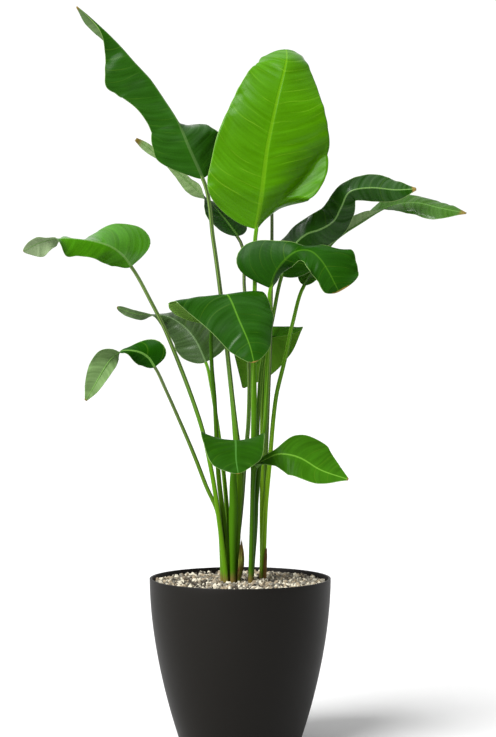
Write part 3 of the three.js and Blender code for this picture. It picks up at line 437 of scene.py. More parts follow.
def disc(radii, heights, segments, closed=None):
    """Points and faces, seen from above, of rings round a middle, whose height comes
    first. A ring has one height or one for each of its points. closed is the height
    of the middle that closes it below."""
    points = [(0.0, 0.0, heights[0])]
    for radius, height in zip(radii, heights[1:]):
        points += [(radius * math.cos(a), radius * math.sin(a), float(z)) for a, z in zip(
            2 * np.pi * np.arange(segments) / segments, np.broadcast_to(height, segments))]
    after = [(k, (k + 1) % segments) for k in range(segments)]
    faces = [(0, 1 + k, 1 + n) for k, n in after]
    for a in range(1, 1 + (len(radii) - 1) * segments, segments):
        b = a + segments
        faces += [(a + k, b + k, b + n, a + n) for k, n in after]
    if closed is not None:
        last, ring = len(points), len(points) - segments
        points.append((0.0, 0.0, closed))
        faces += [(ring + n, ring + k, last) for k, n in after]
    return points, faces


def sheet_skin(upper, lower):
    """A closed skin between two sheets of rows x columns of points."""
    rows, cols = upper.shape[:2]
    n = rows * cols
    grid = np.arange(n).reshape(rows, cols)
    a, b, c, d = (g.ravel() for g in (grid[:-1, :-1], grid[:-1, 1:], grid[1:, 1:], grid[1:, :-1]))
    faces = [(a, b, c), (a, c, d), (a + n, c + n, b + n), (a + n, d + n, c + n)]
    for edge in (grid[:, 0], grid[::-1, -1], grid[0, ::-1], grid[-1]):
        p, q = edge[:-1], edge[1:]
        faces += [(p, q, q + n), (p, q + n, p + n)]
    points = np.concatenate((upper.reshape(-1, 3), lower.reshape(-1, 3)))
    return points, np.concatenate([np.stack(face, 1) for face in faces]).tolist()


# ---- node trees --------------------------------------------------------------
def forward(operation):
    return lambda self, other: self.math(operation, self, other)


def turned_round(operation):
    return lambda self, other: self.math(operation, other, self)


class Wire:
    """A node's number that Python expressions can use."""

    def __init__(self, net, socket):
        self.net, self.socket = net, socket

    def math(self, operation, *values):
        return self.net.add("ShaderNodeMath", dict(enumerate(values)), operation=operation)

    __add__, __radd__ = forward("ADD"), turned_round("ADD")
    __sub__, __rsub__ = forward("SUBTRACT"), turned_round("SUBTRACT")
    __mul__, __rmul__ = forward("MULTIPLY"), turned_round("MULTIPLY")
    __truediv__, __rtruediv__ = forward("DIVIDE"), turned_round("DIVIDE")
    __pow__, least, most = forward("POWER"), forward("MINIMUM"), forward("MAXIMUM")

    def __abs__(self):
        return self.math("ABSOLUTE", self)

    def fraction(self):
        return self.math("FRACT", self)

    def share(self):
        return self.most(0).least(1)

    def hump(self):
        """1 where the number is 0, and less and less to both sides."""
        return self.math("EXPONENT", self ** 2 * -1)

    def step(self, low, high):
        """0 below low and 1 above high, smoothly between; low may be the higher."""
        if isinstance(low, (int, float)) and isinstance(high, (int, float)) and low > high:
            return 1 - self.step(high, low)
        ends = {"Value": self, "From Min": low, "From Max": high}
        return self.net.add("ShaderNodeMapRange", ends, interpolation_type="SMOOTHSTEP")


class Net:
    """Adds nodes to one tree."""

    def __init__(self, tree):
        self.tree = tree

    @classmethod
    def material(cls, name):
        material = bpy.data.materials.new(name)
        material.use_nodes = True
        material.node_tree.nodes.clear()
        net = cls(material.node_tree)
        net.owner = material
        return net

    def add(self, kind, sockets=None, out=0, stops=(), **settings):
        """One node: its type, its sockets' values or links, which output is meant, a
        ramp's stops and its other settings. Stops and settings are set first."""
        node = self.tree.nodes.new(kind)
        for key, value in settings.items():
            setattr(node, key, value)
        for _ in stops[2:]:
            node.color_ramp.elements.new(1.0)
        for element, (position, colour) in zip(node.color_ramp.elements if stops else (), stops):
            element.position, element.color = position, (*colour, 1.0)
        for key, value in (sockets or {}).items():
            socket = node.inputs[key]
            if isinstance(value, Wire):
                self.tree.links.new(value.socket, socket)
            else:
                socket.default_value = (*value, 1.0) if socket.type == "RGBA" else value
        return node if out is None else Wire(self, node.outputs[out])

    def split(self, vector):
        node = self.add("ShaderNodeSeparateXYZ", {0: vector}, None)
        return [Wire(self, output) for output in node.outputs]

    def join(self, x=0.0, y=0.0, z=0.0):
        return self.add("ShaderNodeCombineXYZ", {0: x, 1: y, 2: z})

    def blend(self, share, first, second, **settings):
        """A colour between two colours."""
        return self.add("ShaderNodeMix", {0: share, 6: first, 7: second}, 2,
                        data_type="RGBA", **settings)

    def shade(self, colour, amount):
        """A colour made lighter or darker by a number around 1."""
        grey = self.add("ShaderNodeCombineColor", {0: amount, 1: amount, 2: amount})
        return self.blend(1.0, colour, grey, blend_type="MULTIPLY")

    def noise(self, vector, scale=1.0, detail=2.0, roughness=0.5, out=0):
        return self.add("ShaderNodeTexNoise", {
            "Vector": vector, "Scale": scale, "Detail": detail, "Roughness": roughness}, out)

    def scaled(self, vector, amount):
        return self.add("ShaderNodeVectorMath", {0: vector, "Scale": amount}, operation="SCALE")

    def place(self):
        return self.add("ShaderNodeTexCoord", out="Object")

    def reads(self, name, out="Vector"):
        return self.add("ShaderNodeAttribute", out=out, attribute_name=name)

    def skin(self, colour, roughness, shine, bump=None, **more):
        """A surface; bump is a height, how deep it is and how strong."""
        sockets = {"Base Color": colour, "Roughness": roughness, "Specular IOR Level": shine}
        if bump:
            sockets["Normal"] = self.add("ShaderNodeBump", dict(
                zip(("Height", "Distance", "Strength"), bump)))
        sockets.update((key.replace("_", " ").title(), value) for key, value in more.items())
        return self.add("ShaderNodeBsdfPrincipled", sockets)

    def finish(self, shader):
        self.add("ShaderNodeOutputMaterial", {"Surface": shader}, None)
        return self.owner


class Shape(Net):
    """A geometry node tree with named inputs, put on one piece and baked."""

    def __init__(self, name, inputs):
        super().__init__(bpy.data.node_groups.new(name, "GeometryNodeTree"))
        face = self.tree.interface
        face.new_socket("Geometry", in_out="OUTPUT", socket_type="NodeSocketGeometry")
        self.idents = {}
        for label, kind in {"Geometry": "Geometry", **inputs, "Material": "Material"}.items():
            socket = face.new_socket(label, in_out="INPUT", socket_type="NodeSocket" + kind)
            self.idents[label] = socket.identifier
        self.given = self.tree.nodes.new("NodeGroupInput")

    def input(self, label="Geometry"):
        return Wire(self, self.given.outputs[label])

    def store(self, geometry, name, value, domain="POINT"):
        return self.add("GeometryNodeStoreNamedAttribute",
                        {"Geometry": geometry, "Name": name, "Value": value},
                        data_type="FLOAT", domain=domain)

    def random(self, low, high, seed):
        """A random number, or a random vector, between two."""
        if isinstance(low, tuple):
            return self.add("FunctionNodeRandomValue", {0: low, 1: high, "Seed": seed},
                            data_type="FLOAT_VECTOR")
        return self.add("FunctionNodeRandomValue", {2: low, 3: high, "Seed": seed}, 1,
                        data_type="FLOAT")

    def end(self, geometry, smooth_faces):
        """Realize Instances and Set Material close the tree."""
        faces = self.add("GeometryNodeSetShadeSmooth",
                         {"Geometry": geometry, "Shade Smooth": smooth_faces}, domain="FACE")
        whole = self.add("GeometryNodeRealizeInstances", {"Geometry": faces})
        dressed = self.add("GeometryNodeSetMaterial",
                           {"Geometry": whole, "Material": self.input("Material")})
        self.add("NodeGroupOutput", {"Geometry": dressed}, None)
        return self

    def bake(self, piece, values):
        """Runs the tree on a piece and leaves its result as a plain mesh."""
        modifier = piece.modifiers.new("shape", "NODES")
        modifier.node_group = self.tree
        for label, value in values.items():
            modifier[self.idents[label]] = value
        graph = bpy.context.evaluated_depsgraph_get()
        mesh = bpy.data.meshes.new_from_object(
            piece.evaluated_get(graph), preserve_all_data_layers=True, depsgraph=graph)
        piece.modifiers.clear()
        piece.data = mesh
        if not len(mesh.polygons):
            raise RuntimeError(f"{piece.name} came out empty")


def stalk_shape(sides):
    """A grooved stem swept along a path that carries its radius and the way
    its groove looks."""
    shape = Shape("stalk", {"Groove depth": "Float"})
    path = shape.add("GeometryNodeMeshToCurve", {"Mesh": shape.input()})
    looks = shape.add("GeometryNodeInputNamedAttribute", {"Name": "looks"},
                      data_type="FLOAT_VECTOR")
    size = shape.add("GeometryNodeInputNamedAttribute", {"Name": "size"}, data_type="FLOAT")
    path = shape.add("GeometryNodeSetCurveNormal", {"Curve": path, "Normal": looks}, mode="FREE")
    path = shape.store(path, "run", shape.add("GeometryNodeSplineParameter", out="Length"))
    ring = shape.add("GeometryNodeCurvePrimitiveCircle", {"Resolution": sides, "Radius": 1.0},
                     mode="RADIUS")
    turn = shape.add("GeometryNodeSplineParameter", out="Factor")
    ring = shape.store(ring, "turn", turn)
    # The groove is centred where the turn is 0 and stands between two lips.
    near = 1 - abs((turn - 0.5) * 2)
    groove, lip = (near / 0.13).hump(), ((near - LIP_PLACE) / 0.08).hump()
    depth = shape.input("Groove depth")
    reach = 1 - groove * depth + lip * (depth * 0.12)
    moved = shape.scaled(shape.add("GeometryNodeInputPosition"), reach)
    ring = shape.add("GeometryNodeSetPosition", {"Geometry": ring, "Position": moved})
    return shape.end(shape.add("GeometryNodeCurveToMesh", {
        "Curve": path, "Profile Curve": ring, "Scale": size, "Fill Caps": True}), True)


def gravel_shape():
    """Crushed stones strewn over a surface, each one turned, squashed and
    chipped on its own, and kept off the stalks."""
    shape = Shape("gravel", {
        "Stalk feet": "Object", "Spacing": "Float", "Per area": "Float", "Stone size": "Float",
        "Clear of stalks": "Float", "Seed": "Int"})
    size, seed = shape.input("Stone size"), shape.input("Seed")
    spots = shape.add("GeometryNodeDistributePointsOnFaces", {
        "Mesh": shape.input(), "Distance Min": shape.input("Spacing"),
        "Density Max": shape.input("Per area"), "Seed": seed}, distribute_method="POISSON")
    feet = shape.add("GeometryNodeObjectInfo", {"Object": shape.input("Stalk feet")}, "Geometry")
    gap = shape.add("GeometryNodeProximity", {"Geometry": feet}, "Distance",
                    target_element="POINTS")
    close = shape.add("FunctionNodeCompare", {0: gap, 1: shape.input("Clear of stalks")},
                      data_type="FLOAT", operation="LESS_THAN")
    spots = shape.add("GeometryNodeDeleteGeometry", {"Geometry": spots, "Selection": close},
                      domain="POINT")
    stone = shape.add("GeometryNodeMeshIcoSphere", {"Radius": 0.5, "Subdivisions": 1})
    turn = shape.random((0.0, 0.0, 0.0), (6.28, 6.28, 6.28), seed)
    stretch = shape.random((0.55, 0.5, 0.4), (1.45, 1.1, 0.8), seed + 1)
    large = shape.random(0.6, 1.35, seed + 2)
    stones = shape.add("GeometryNodeInstanceOnPoints", {
        "Points": spots, "Instance": stone,
        "Rotation": shape.add("FunctionNodeEulerToRotation", {0: turn}),
        "Scale": shape.scaled(stretch, large * size)})
    stones = shape.store(stones, "tint", shape.random(0.0, 1.0, seed + 3), "INSTANCE")
    stones = shape.add("GeometryNodeRealizeInstances", {"Geometry": stones})
    rough = shape.noise(shape.add("GeometryNodeInputPosition"), 1.0 / size * 1.6, 1.0, out="Color")
    centred = shape.add("ShaderNodeVectorMath", {0: rough, 1: (0.5, 0.5, 0.5)},
                        operation="SUBTRACT")
    return shape.end(shape.add("GeometryNodeSetPosition", {
        "Geometry": stones, "Offset": shape.scaled(centred, size * 0.55)}), False)


# ---- sizes and colours a user would change -----------------------------------
def number(name, description, default, kind=FloatProperty, **more):
    return kind(name=name, description=description, default=default, **more)


def length(*words):
    return number(*words, unit="LENGTH", subtype="DISTANCE", precision=4)


def colour(name, description, *shown):
    return number(name, description, tone(*shown), FloatVectorProperty, size=3,
                  subtype="COLOR", min=0.0, max=1.0)


class PlanterSettings(bpy.types.PropertyGroup):
    rim_radius: length("Rim radius", "Outer radius of the planter's rim", PLANTER_HIGH.x)
    height: length("Height", "Height of the planter", PLANTER_HIGH.z)
    foot_radius: length("Foot radius", "Outer radius where the planter stands", 0.113)
    wall: length("Wall", "Thickness of the wall", 0.0045)
    floor: length("Floor", "Thickness of the floor", 0.005)
    belly: number("Belly", "How late the wall swings out; 1 is a cone", 1.8)
    segments: number("Segments", "Faces round the planter", 180, IntProperty)
    body_colour: colour("Colour", "Moulded body", 14, 12, 9)


class GravelSettings(bpy.types.PropertyGroup):
    stone: length("Stone size", "Middle size of a stone", 0.011)
    spacing: length("Spacing", "Least distance between stones", 0.006)
    clear: length("Clear of stalks", "Least distance from a stalk's middle", 0.0074)
    per_area: number("Per area", "Most stones in a square metre", 30000.0)
    seed: number("Seed", "Another number strews them otherwise", 7, IntProperty)
    dark: colour("Dark stones", "Darkest stones", 50, 44, 35)
    warm: colour("Warm stones", "Buff and pinkish stones", 124, 112, 92)
    grey: colour("Grey stones", "Grey stones", 100, 96, 86)
    pale: colour("Pale stones", "Whitish stones", 172, 166, 148)
    bed: colour("Bed", "Grit between and under the stones", 40, 34, 27)
    soil: colour("Soil", "Potting soil", 44, 34, 26)


class StalkSettings(bpy.types.PropertyGroup):
    groove: number("Groove", "Depth of the groove, as a share of the radius", 0.34,
                   subtype="FACTOR", min=0.0, max=0.6)
    sides: number("Sides", "Faces round a stalk", 28, IntProperty)
    step: length("Step", "Length of a stalk's faces", 0.012)
    into_blade: length("Into blade", "How far a stalk runs on under its blade", 0.012)
    # green is the lit stalk green, and dark is the same green with painted shade
    green: colour("Green", "Front stalks", 66, 112, 10)
    dark: colour("Dark green", "Shaded stalks", 40, 74, 4)
    grey: colour("Grey green", "Bloomed stalks", 70, 84, 52)
    lip: colour("Lip", "Pale lips of the groove", 120, 150, 60)
    foot: colour("Foot", "Yellowish feet", 70, 108, 10)
    deep: colour("Deep foot", "Feet of the thick stem", 46, 84, 2)
    # lime: feet brightened with painted light where the key light leaves them in shadow
    lime: colour("Lime foot", "Brightest feet", 120, 166, 30)
    husk: colour("Husk", "Brown skin at the very bottom", 96, 72, 40)


class SheathSettings(bpy.types.PropertyGroup):
    thickness: length("Thickness", "Thickness of a dry sheath", 0.0008)
    brown: colour("Brown", "Dry sheath", 128, 98, 40)
    moss: colour("Moss green", "Sheath that is still half green", 112, 124, 40)
    dark: colour("Dark brown", "Weathered streaks", 80, 54, 28)


class BladeSettings(bpy.types.PropertyGroup):
    blade_step: length("Step", "Length of a blade's faces", 0.0032)
    blade_columns: number("Columns", "Faces from rib to margin", 24, IntProperty)
    blade_thickness: length("Thickness", "Thickness of a blade", 0.0009)
    rib_width: length("Rib width", "Width of the rib where the blade starts", 0.005)
    vein_spacing: length("Vein spacing", "Distance between the strong side veins", 0.013)
    vein_lean: number("Vein lean", "How far a side vein leans forward", 0.3)
    pleat: length("Pleat", "Height of the pleats between side veins", 0.0009)
    crinkle: length("Crinkle", "Height of the crinkles at the margin", 0.0011)
    rib_colour: colour("Rib", "Pale green rib", 96, 140, 60)
    vein_colour: colour("Side veins", "Fine light side veins", 146, 190, 50)
    margin_colour: colour("Margin", "Thin light edge", 138, 168, 96)
    dry_colour: colour("Dry", "Dried tips", 118, 98, 46)
    under_dark: colour("Underside, dark", "Underside between veins", 66, 92, 50)
    under_light: colour("Underside, light", "Underside along veins", 92, 114, 74)
    glow_colour: colour("Glow", "Light that comes through a blade", 84, 150, 2)


class StageSettings(bpy.types.PropertyGroup):
    floor_colour: colour("Floor", "Plain floor", 188, 188, 188)
    bright: number("Bright side", "Light from behind and above", 1.08)
    dim: number("Dim side", "Light from the front", 0.38)
    key: number("Key light", "Strength of the large front light", 7.6)
    key_angle: number("Key size", "How wide the front light looks", 0.75,
                      unit="ROTATION", subtype="ANGLE")
    lens: number("Lens", "Focal length of the camera", 82.1, unit="CAMERA")
    eye_height: length("Eye height", "Height of the camera", 0.729)
    eye_back: length("Eye distance", "How far the camera stands in front", 3.25)


# ---- each leaf's own look --------------------------------------------------
def look(middle, lift=1.28, below=(), **more):
    """A blade's dark and light green from its middle tone, its underside between
    its veins and along them, and what else sets it apart: rib is its width, rib_tone
    its colour and rib_share how clearly it shows, veins how clearly the side veins
    show, dry the dried share at the tip, glow how much light comes through, swell and
    crinkle how wavy its margin is, wax the bloom left and right of the rib, and crest
    where along the blade the bloom is thickest, over what share of it, and how much."""
    middle = tone(*middle)
    more["dark"] = tuple(c * (2 - lift) for c in middle)
    more["light"] = tuple(min(1, c * lift) for c in middle)
    more.update(zip(("under_dark", "under_light"), (tone(*shown) for shown in below)))
    return more


LOOKS = {
    "leaf_01": look((25, 64, 4), rib_tone=tone(60, 90, 40), dry=0.012, glow=0.08,
                    wax=(0.14, 0.9)),
    "leaf_02": look((62, 114, 0), 1.2, rib=1.7, rib_tone=tone(88, 138, 10), glow=0.24,
                    rough=0.3, swell=1.6, shine=0.04, crinkle=1.6, wax=(0.2, 0.2),
                    crest=(0.87, 0.05, 2.6), veins=0.2),
    "leaf_03": look((30, 64, 12), below=((108, 138, 82), (156, 184, 124)), dry=0.03, glow=0.3),
    "leaf_04": look((54, 110, 2), below=((112, 134, 92), (152, 172, 130)), rib=0.6, dry=0.004,
                    glow=0.2, shine=0.06, rough=0.34, wax=(0.2, 2.4)),
    "leaf_05": look((16, 58, 0), below=((74, 100, 54), (110, 138, 86)), rib=0.6),
    "leaf_06": look((40, 64, 22), 1.4, rib=0.35, rib_tone=tone(84, 110, 66), shine=0.1,
                    dry=0.004, crinkle=2.0, wax=(0.6, 0.6)),
    "leaf_07": look((22, 63, 0), below=((94, 136, 50), (124, 164, 72)), rib=0.6,
                    rib_tone=tone(70, 116, 24), dry=0.006, shine=0.04, wax=(0.3, 0.5)),
    "leaf_08": look((50, 90, 12), below=((74, 114, 24), (106, 146, 46)), rough=0.5, glow=0.5),
    "leaf_09": look((22, 58, 2), rib=0.5, rib_tone=tone(100, 136, 70), dry=0.012,
                    wax=(1.2, 0.6)),
    "leaf_10": look((40, 72, 16)),
    "leaf_11": look((26, 63, 4), rib=0.6, rib_tone=tone(60, 104, 40), dry=0.004),
    "leaf_12": look((42, 86, 6), rib=0.5, rib_tone=tone(90, 136, 40)),
    "leaf_13": look((54, 92, 20), below=((96, 124, 72), (146, 168, 120)), rib=0.5, dry=0.02,
                    glow=0.34, wax=(1, 1)),
    "leaf_14": look((18, 56, 0), rib=0.7, rib_tone=tone(60, 104, 16), dry=0.008,
                    rib_share=0.5, crinkle=2.5, shine=0.04),
}
# Each stalk's colour, the colour of its foot, and how grey its top is. A dark body or foot is
# painted shade, and a lime foot is painted light.
STALK_LOOKS = {
    "leaf_01": ("green", "foot", 0.8), "leaf_02": ("green", "dark", 0),
    "leaf_03": ("green", "grey", 1), "leaf_04": ("green", "foot", 0.85),
    "leaf_05": ("grey", "foot", 0.5), "leaf_06": ("green", "foot", 0),
    "leaf_07": ("dark", "foot", 0), "leaf_08": ("dark", "dark", 0),
    "leaf_09": ("dark", "lime", 0), "leaf_10": ("grey", "foot", 0),
    "leaf_11": ("green", "deep", 0), "leaf_12": ("green", "dark", 0),
    "leaf_13": ("green", "lime", 0), "leaf_14": ("green", "dark", 0),
}
# The finish of each blade in the record; the other blades are bright.
SLOTS = {
    "leaf_02": "blade_lime", "leaf_06": "blade_grey",
    **dict.fromkeys(("leaf_01", "leaf_03", "leaf_05", "leaf_09", "leaf_13", "leaf_14"),
                    "blade_deep"),
}


# ---- blades ------------------------------------------------------------------
def stations(leaf, length, step):
    """Shares along a blade, crowded where its ends are round."""
    base, tip = leaf.base, leaf.tip

    def bend(share):
        count = max(10, int(1.3 * share * length / step))
        return share * (1 - np.cos(np.linspace(0, np.pi / 2, count)))

    middle = np.linspace(base, 1 - tip, int((1 - base - tip) * length / step) + 1)
    end = (1 - bend(tip))[::-1][1:] if tip > 0 else []
    return np.concatenate((bend(base)[:-1], middle, end))


def normals(sheet):
    return unit(np.cross(np.gradient(sheet, axis=1), np.gradient(sheet, axis=0)))


def blade_piece(name, leaf, look, s, seed, material):
    """One blade: pleated along its side veins, channelled above its rib and
    keeled below it, thinner and crinkled at its margin."""
    rng = np.random.default_rng(seed)
    length = reach_of(np.array(leaf.rib, float)[:, :3])[-1]
    u = stations(leaf, length, s.blade_step / MM)
    f = blade_frames(leaf, u)
    rib = look.get("rib", 1.0) * (s.rib_width / MM / 2 * (1 - u) ** RIB_THINS + 1.0)
    run, rib = (u * length)[:, None], rib[:, None]
    inner = np.array([0.4, 0.8, 1.0, RIB_REACH])
    outer = np.linspace(0, 1, s.blade_columns)[1:] ** 0.92
    halves = []
    for side in (0, 1):
        wide = f.width[:, side, None]
        close = np.minimum(0.4, RIB_REACH * rib / wide)
        v = np.concatenate((close * inner / RIB_REACH, close + (1 - close) * outer), axis=1)
        x = wide * v
        q = run - s.vein_lean * x - 0.25 * x * v * v
        halves.append((blade_points(leaf, f, u, side, v), q, x * (2 * side - 1),
                       wide * (1 - v), v))
    zero = 0 * run
    middle = f.at[:, None], run, zero, f.width[:, :1], zero
    sheet, q, x, edge, v = (np.concatenate((left[:, ::-1], line, right), axis=1)
                            for left, line, right in zip(halves[0], middle, halves[1]))

    spacing = s.vein_spacing / MM
    beyond = smooth(np.abs(x), rib, rib + 14)
    ends = smooth(u, 0, 0.05)[:, None] * (1 - smooth(u, 0.9, 1))[:, None]
    lift = np.zeros_like(q)
    for side in (-1, 1):
        pleat = (wander(q, spacing, rng) + 0.45 * wander(q, spacing * 0.42, rng)) * s.pleat / MM
        swell = look.get("swell", 1.2) * wander(run, SWELL_LENGTH, rng) * v * v
        crinkle = (look.get("crinkle", 1.0) * s.crinkle / MM
                   * wander(run, CRINKLE_LENGTH, rng) * smooth(v, 0.78, 1))
        lift += np.where(x * side > 0,
                         (pleat * beyond * (1 - 0.4 * v) + swell + crinkle) * ends, 0)
    sheet = sheet + normals(sheet) * lift[..., None]
    out = normals(sheet)

    thick = s.blade_thickness / MM * (1 - 0.5 * smooth(v, 0.75, 1)) / 2
    bowl = np.maximum(0, 1 - (x / rib) ** 2)
    keel = ((RIB_DEPTH - 0.6) * np.maximum(0, 1 - np.minimum(1, u * 1.15) ** 0.7) + 0.5)[:, None]
    upper = sheet + out * (thick - 0.55 * bowl * smooth(rib, 0.9, 3.0))[..., None]
    lower = sheet - out * (thick + bowl ** 0.6 * keel)[..., None]
    piece = new_piece(name, *sheet_skin(upper * MM, lower * MM), material)
    # vein: along a side vein's start, across from the rib, and from the margin.
    # place: the share of the length, 0 above and 1 below, and the leaf's own number.
    vein = np.stack((q, x, edge), -1) * MM
    store(piece.data, "vein", np.concatenate((vein, vein)))
    store(piece.data, "place", np.concatenate([
        np.stack(np.broadcast_arrays(u[:, None], face, seed * 0.37 + zero * q), -1)
        for face in (0.0, 1.0)]))
    return piece


def blade_material(name, look, s):
    """A leaf's skin: streaks along the side veins, a pale rib, a thin light
    margin, a dry tip and a paler underside."""
    net = Net.material(name)
    q, x, edge = net.split(net.reads("vein"))
    u, under, seed = net.split(net.reads("place"))
    streak = net.noise(net.join(q * 130, x * 9, seed), detail=3.0)
    fine = net.noise(net.join(q * 620, x * 22, seed))
    cloud = net.noise(net.place(), 16.0)
    light = (0.5 + (streak - 0.5) * 1.6 + (cloud - 0.5) * 1.2 + (fine - 0.5) * 0.7).share()
    green = net.blend(light, look["dark"], look["light"])
    # The pale rib and the lighter strip beside it.
    across = abs(x)
    half = (1 - u) ** RIB_THINS * (look.get("rib", 1.0) * s.rib_width / 2) + 0.001
    green = net.blend((1 - across.step(half, half + 0.012)) * 0.35, green, look["light"])
    line = 1 - across.step(half * 0.72, half * 1.05)
    green = net.blend(line * look.get("rib_share", 0.85), green,
                      net.shade(look.get("rib_tone", s.rib_colour), 0.85 + 0.3 * fine))
    # Fine broken side veins and the margin.
    turn = q / (1.7 * s.vein_spacing) + net.noise(net.join(q * 9, x * 5, seed + 4)) * 3
    lines = 1 - abs(turn.fraction() - 0.5).step(0.01, 0.05)
    broken = net.noise(net.join(q * 30, x * 16, seed + 9)).step(0.42, 0.62)
    green = net.blend(lines * broken * look.get("veins", 0.06), green, s.vein_colour)
    green = net.blend((1 - edge.step(0.0005, 0.0016)) * 0.5, green, s.margin_colour)
    # The underside.
    below = net.blend((0.5 + (streak - 0.5) * 1.4).share(),
                      look.get("under_dark", s.under_dark), look.get("under_light", s.under_light))
    below = net.blend((1 - across.step(half * 0.6, half)) * 0.6, below, s.rib_colour)
    green = net.blend(under, green, below)
    dry = look.get("dry", 0.01)
    wilt = (u + (cloud - 0.5) * 0.03 + (fine - 0.5) * 0.02).step(1 - 2.2 * dry, 1 - 0.8 * dry)
    green = net.blend(wilt, green, net.shade(s.dry_colour, 0.7 + 0.6 * fine))
    rough = look.get("rough", 0.42) + (streak - 0.5) * 0.16 + under * 0.16 + wilt * 0.25
    left, right = look.get("wax", (0.05, 0.05))
    wax = x.step(-0.003, 0.003) * (right - left) + left
    if "crest" in look:
        top, spread, thick = look["crest"]
        wax = wax + (1 - abs(u - top).step(0, spread)) * thick
    wax = wax * (1 - under)
    skin = net.skin(green, rough.most(0.15).least(0.95), look.get("shine", 0.02),
                    (streak * 0.5 + fine * 0.5, 0.0006, 0.35),
                    coat_weight=((0.5 + (streak - 0.5) * 2) * wax).share(), coat_roughness=0.25)
    glow = net.add("ShaderNodeBsdfTranslucent", {"Color": s.glow_colour})
    return net.finish(net.add("ShaderNodeMixShader",
                              {0: look.get("glow", 0.12), 1: skin, 2: glow}))


# ---- the pieces ------------------------------------------------------------
class PLANT_OT_planter(bpy.types.Operator):
    """Make the moulded planter"""
    bl_idname = "plant.planter"
    bl_label = "Planter"

    def execute(self, context):
        s = context.scene.plant_planter
        net = Net.material("moulded planter")
        grain = net.noise(net.place(), 900.0, 3.0, 0.6)
        cloud = net.noise(net.place(), 9.0)
        material = net.finish(net.skin(
            net.shade(s.body_colour, 0.86 + 0.2 * cloud + 0.08 * grain),
            0.5 + (cloud - 0.5) * 0.12 + (grain - 0.5) * 0.1, 0.13, (grain, 0.0002, 0.4)))
        levels = np.linspace(0, 1, 40)[1:-1] * (s.height - 0.006)
        outer = [(pot_radius(s, z), z) for z in levels]
        inner = [(pot_radius(s, z) - s.wall, z) for z in levels[::-1] if z > s.floor + 0.002]
        # The rim is rounded outside and inside.
        bend, round_out, round_in = np.linspace(0, math.pi / 2, 5), 0.0013, 0.0012
        lip = [(s.rim_radius - round_out + round_out * math.cos(a),
                s.height - round_out + round_out * math.sin(a)) for a in bend]
        back = [(s.rim_radius - s.wall + round_in - round_in * math.sin(a),
                 s.height - round_in + round_in * math.cos(a)) for a in bend]
        foot = pot_radius(s, 0)
        profile = [(foot - 0.003, 0.0), (foot - 0.0008, 0.0007), (pot_radius(s, 0.003), 0.003),
                   *outer, *lip, *back, *inner, (pot_radius(s, s.floor) - s.wall, s.floor)]
        radii, heights = zip(*profile)
        points, faces = disc(radii, (0.0, *heights), s.segments, closed=s.floor)
        shell = new_piece("planter_shell", points, [face[::-1] for face in faces], material)
        stand_for(shell, "planter", "planter")
        return {"FINISHED"}


class PLANT_OT_gravel(bpy.types.Operator):
    """Make the soil and the crushed gravel on it"""
    bl_idname = "plant.gravel"
    bl_label = "Soil and gravel"

    def execute(self, context):
        s, pot = context.scene.plant_gravel, context.scene.plant_planter
        soil = self.crumbly("potting soil", s.soil, 260.0, 5.0, 0.95, 0.002)
        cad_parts["potting_soil"].data.materials[0] = soil
        grit = self.crumbly("grit", s.bed, 420.0, 4.0, 0.92, 0.001)

        # The bed: a lumpy disc from the soil up to just under the stones.
        top, low, dome, air = GRAVEL_HIGH.z - 0.0052, GRAVEL_LOW.z, 0.0026, 0.0004
        edge = pot_radius(pot, GRAVEL_TOP * MM) - pot.wall - air
        rings, segments = 56, 168
        r = np.linspace(0, edge, rings)[1:]
        lump = np.random.default_rng(s.seed).uniform(-1, 1, (rings - 1, segments)) * 0.0007
        lump[-1] = 0
        heights = top + dome * (1 - (r / edge) ** 2)[:, None] - 0.0012 + lump
        radii = (*r, pot_radius(pot, low) - pot.wall - air)
        bed = new_piece("gravel_bed", *disc(
            radii, (top + 0.0014, *heights, low), segments, closed=low), grit)

        net = Net.material("crushed stone")
        speck = net.noise(net.place(), 1400.0, 3.0, 0.7)
        ramp = ((0.0, 0.14, s.dark), (0.2, 0.42, s.warm), (0.5, 0.7, s.grey), (0.78, 1.0, s.pale))
        paint = net.add("ShaderNodeValToRGB", {"Fac": net.reads("tint", "Fac")},
                        stops=[(at, shown) for a, b, shown in ramp for at in (a, b)])
        material = net.finish(net.skin(net.shade(paint, 0.72 + 0.56 * speck), 0.85, 0.3,
                                       (speck, 0.0004, 0.5)))
        # The stones lie on a disc that ends inside the wall.
        rim, disc_z, radii = edge - 0.0045, top + 0.0006, (0.3, 0.6, 0.85, 1.0)
        stones = new_piece("gravel_stones", *disc(
            [rim * radius for radius in radii],
            [disc_z + dome * (1 - radius**2) for radius in (0.0, *radii)], segments // 2), material)
        feet = bpy.data.meshes.new("stalk feet")
        feet.from_pydata([(leaf.foot[0] * MM, leaf.foot[1] * MM, disc_z + 0.002)
                          for leaf in LEAVES.values()], [], [])
        marks = link("stalk_feet", feet)
        gravel_shape().bake(stones, {
            "Stalk feet": marks, "Spacing": s.spacing, "Per area": s.per_area,
            "Stone size": s.stone, "Clear of stalks": s.clear, "Seed": s.seed,
            "Material": material})
        bpy.data.objects.remove(marks)
        stand_for(bed, "gravel", "gravel_top")
        stand_for(stones, "gravel", "gravel_top")
        return {"FINISHED"}

    def crumbly(self, name, shown, scale, detail, roughness, depth):
        net = Net.material(name)
        grain = net.noise(net.place(), scale, detail, 0.7)
        return net.finish(net.skin(net.shade(shown, 0.5 + grain), roughness, 0.2,
                                   (grain, depth, 1.0)))


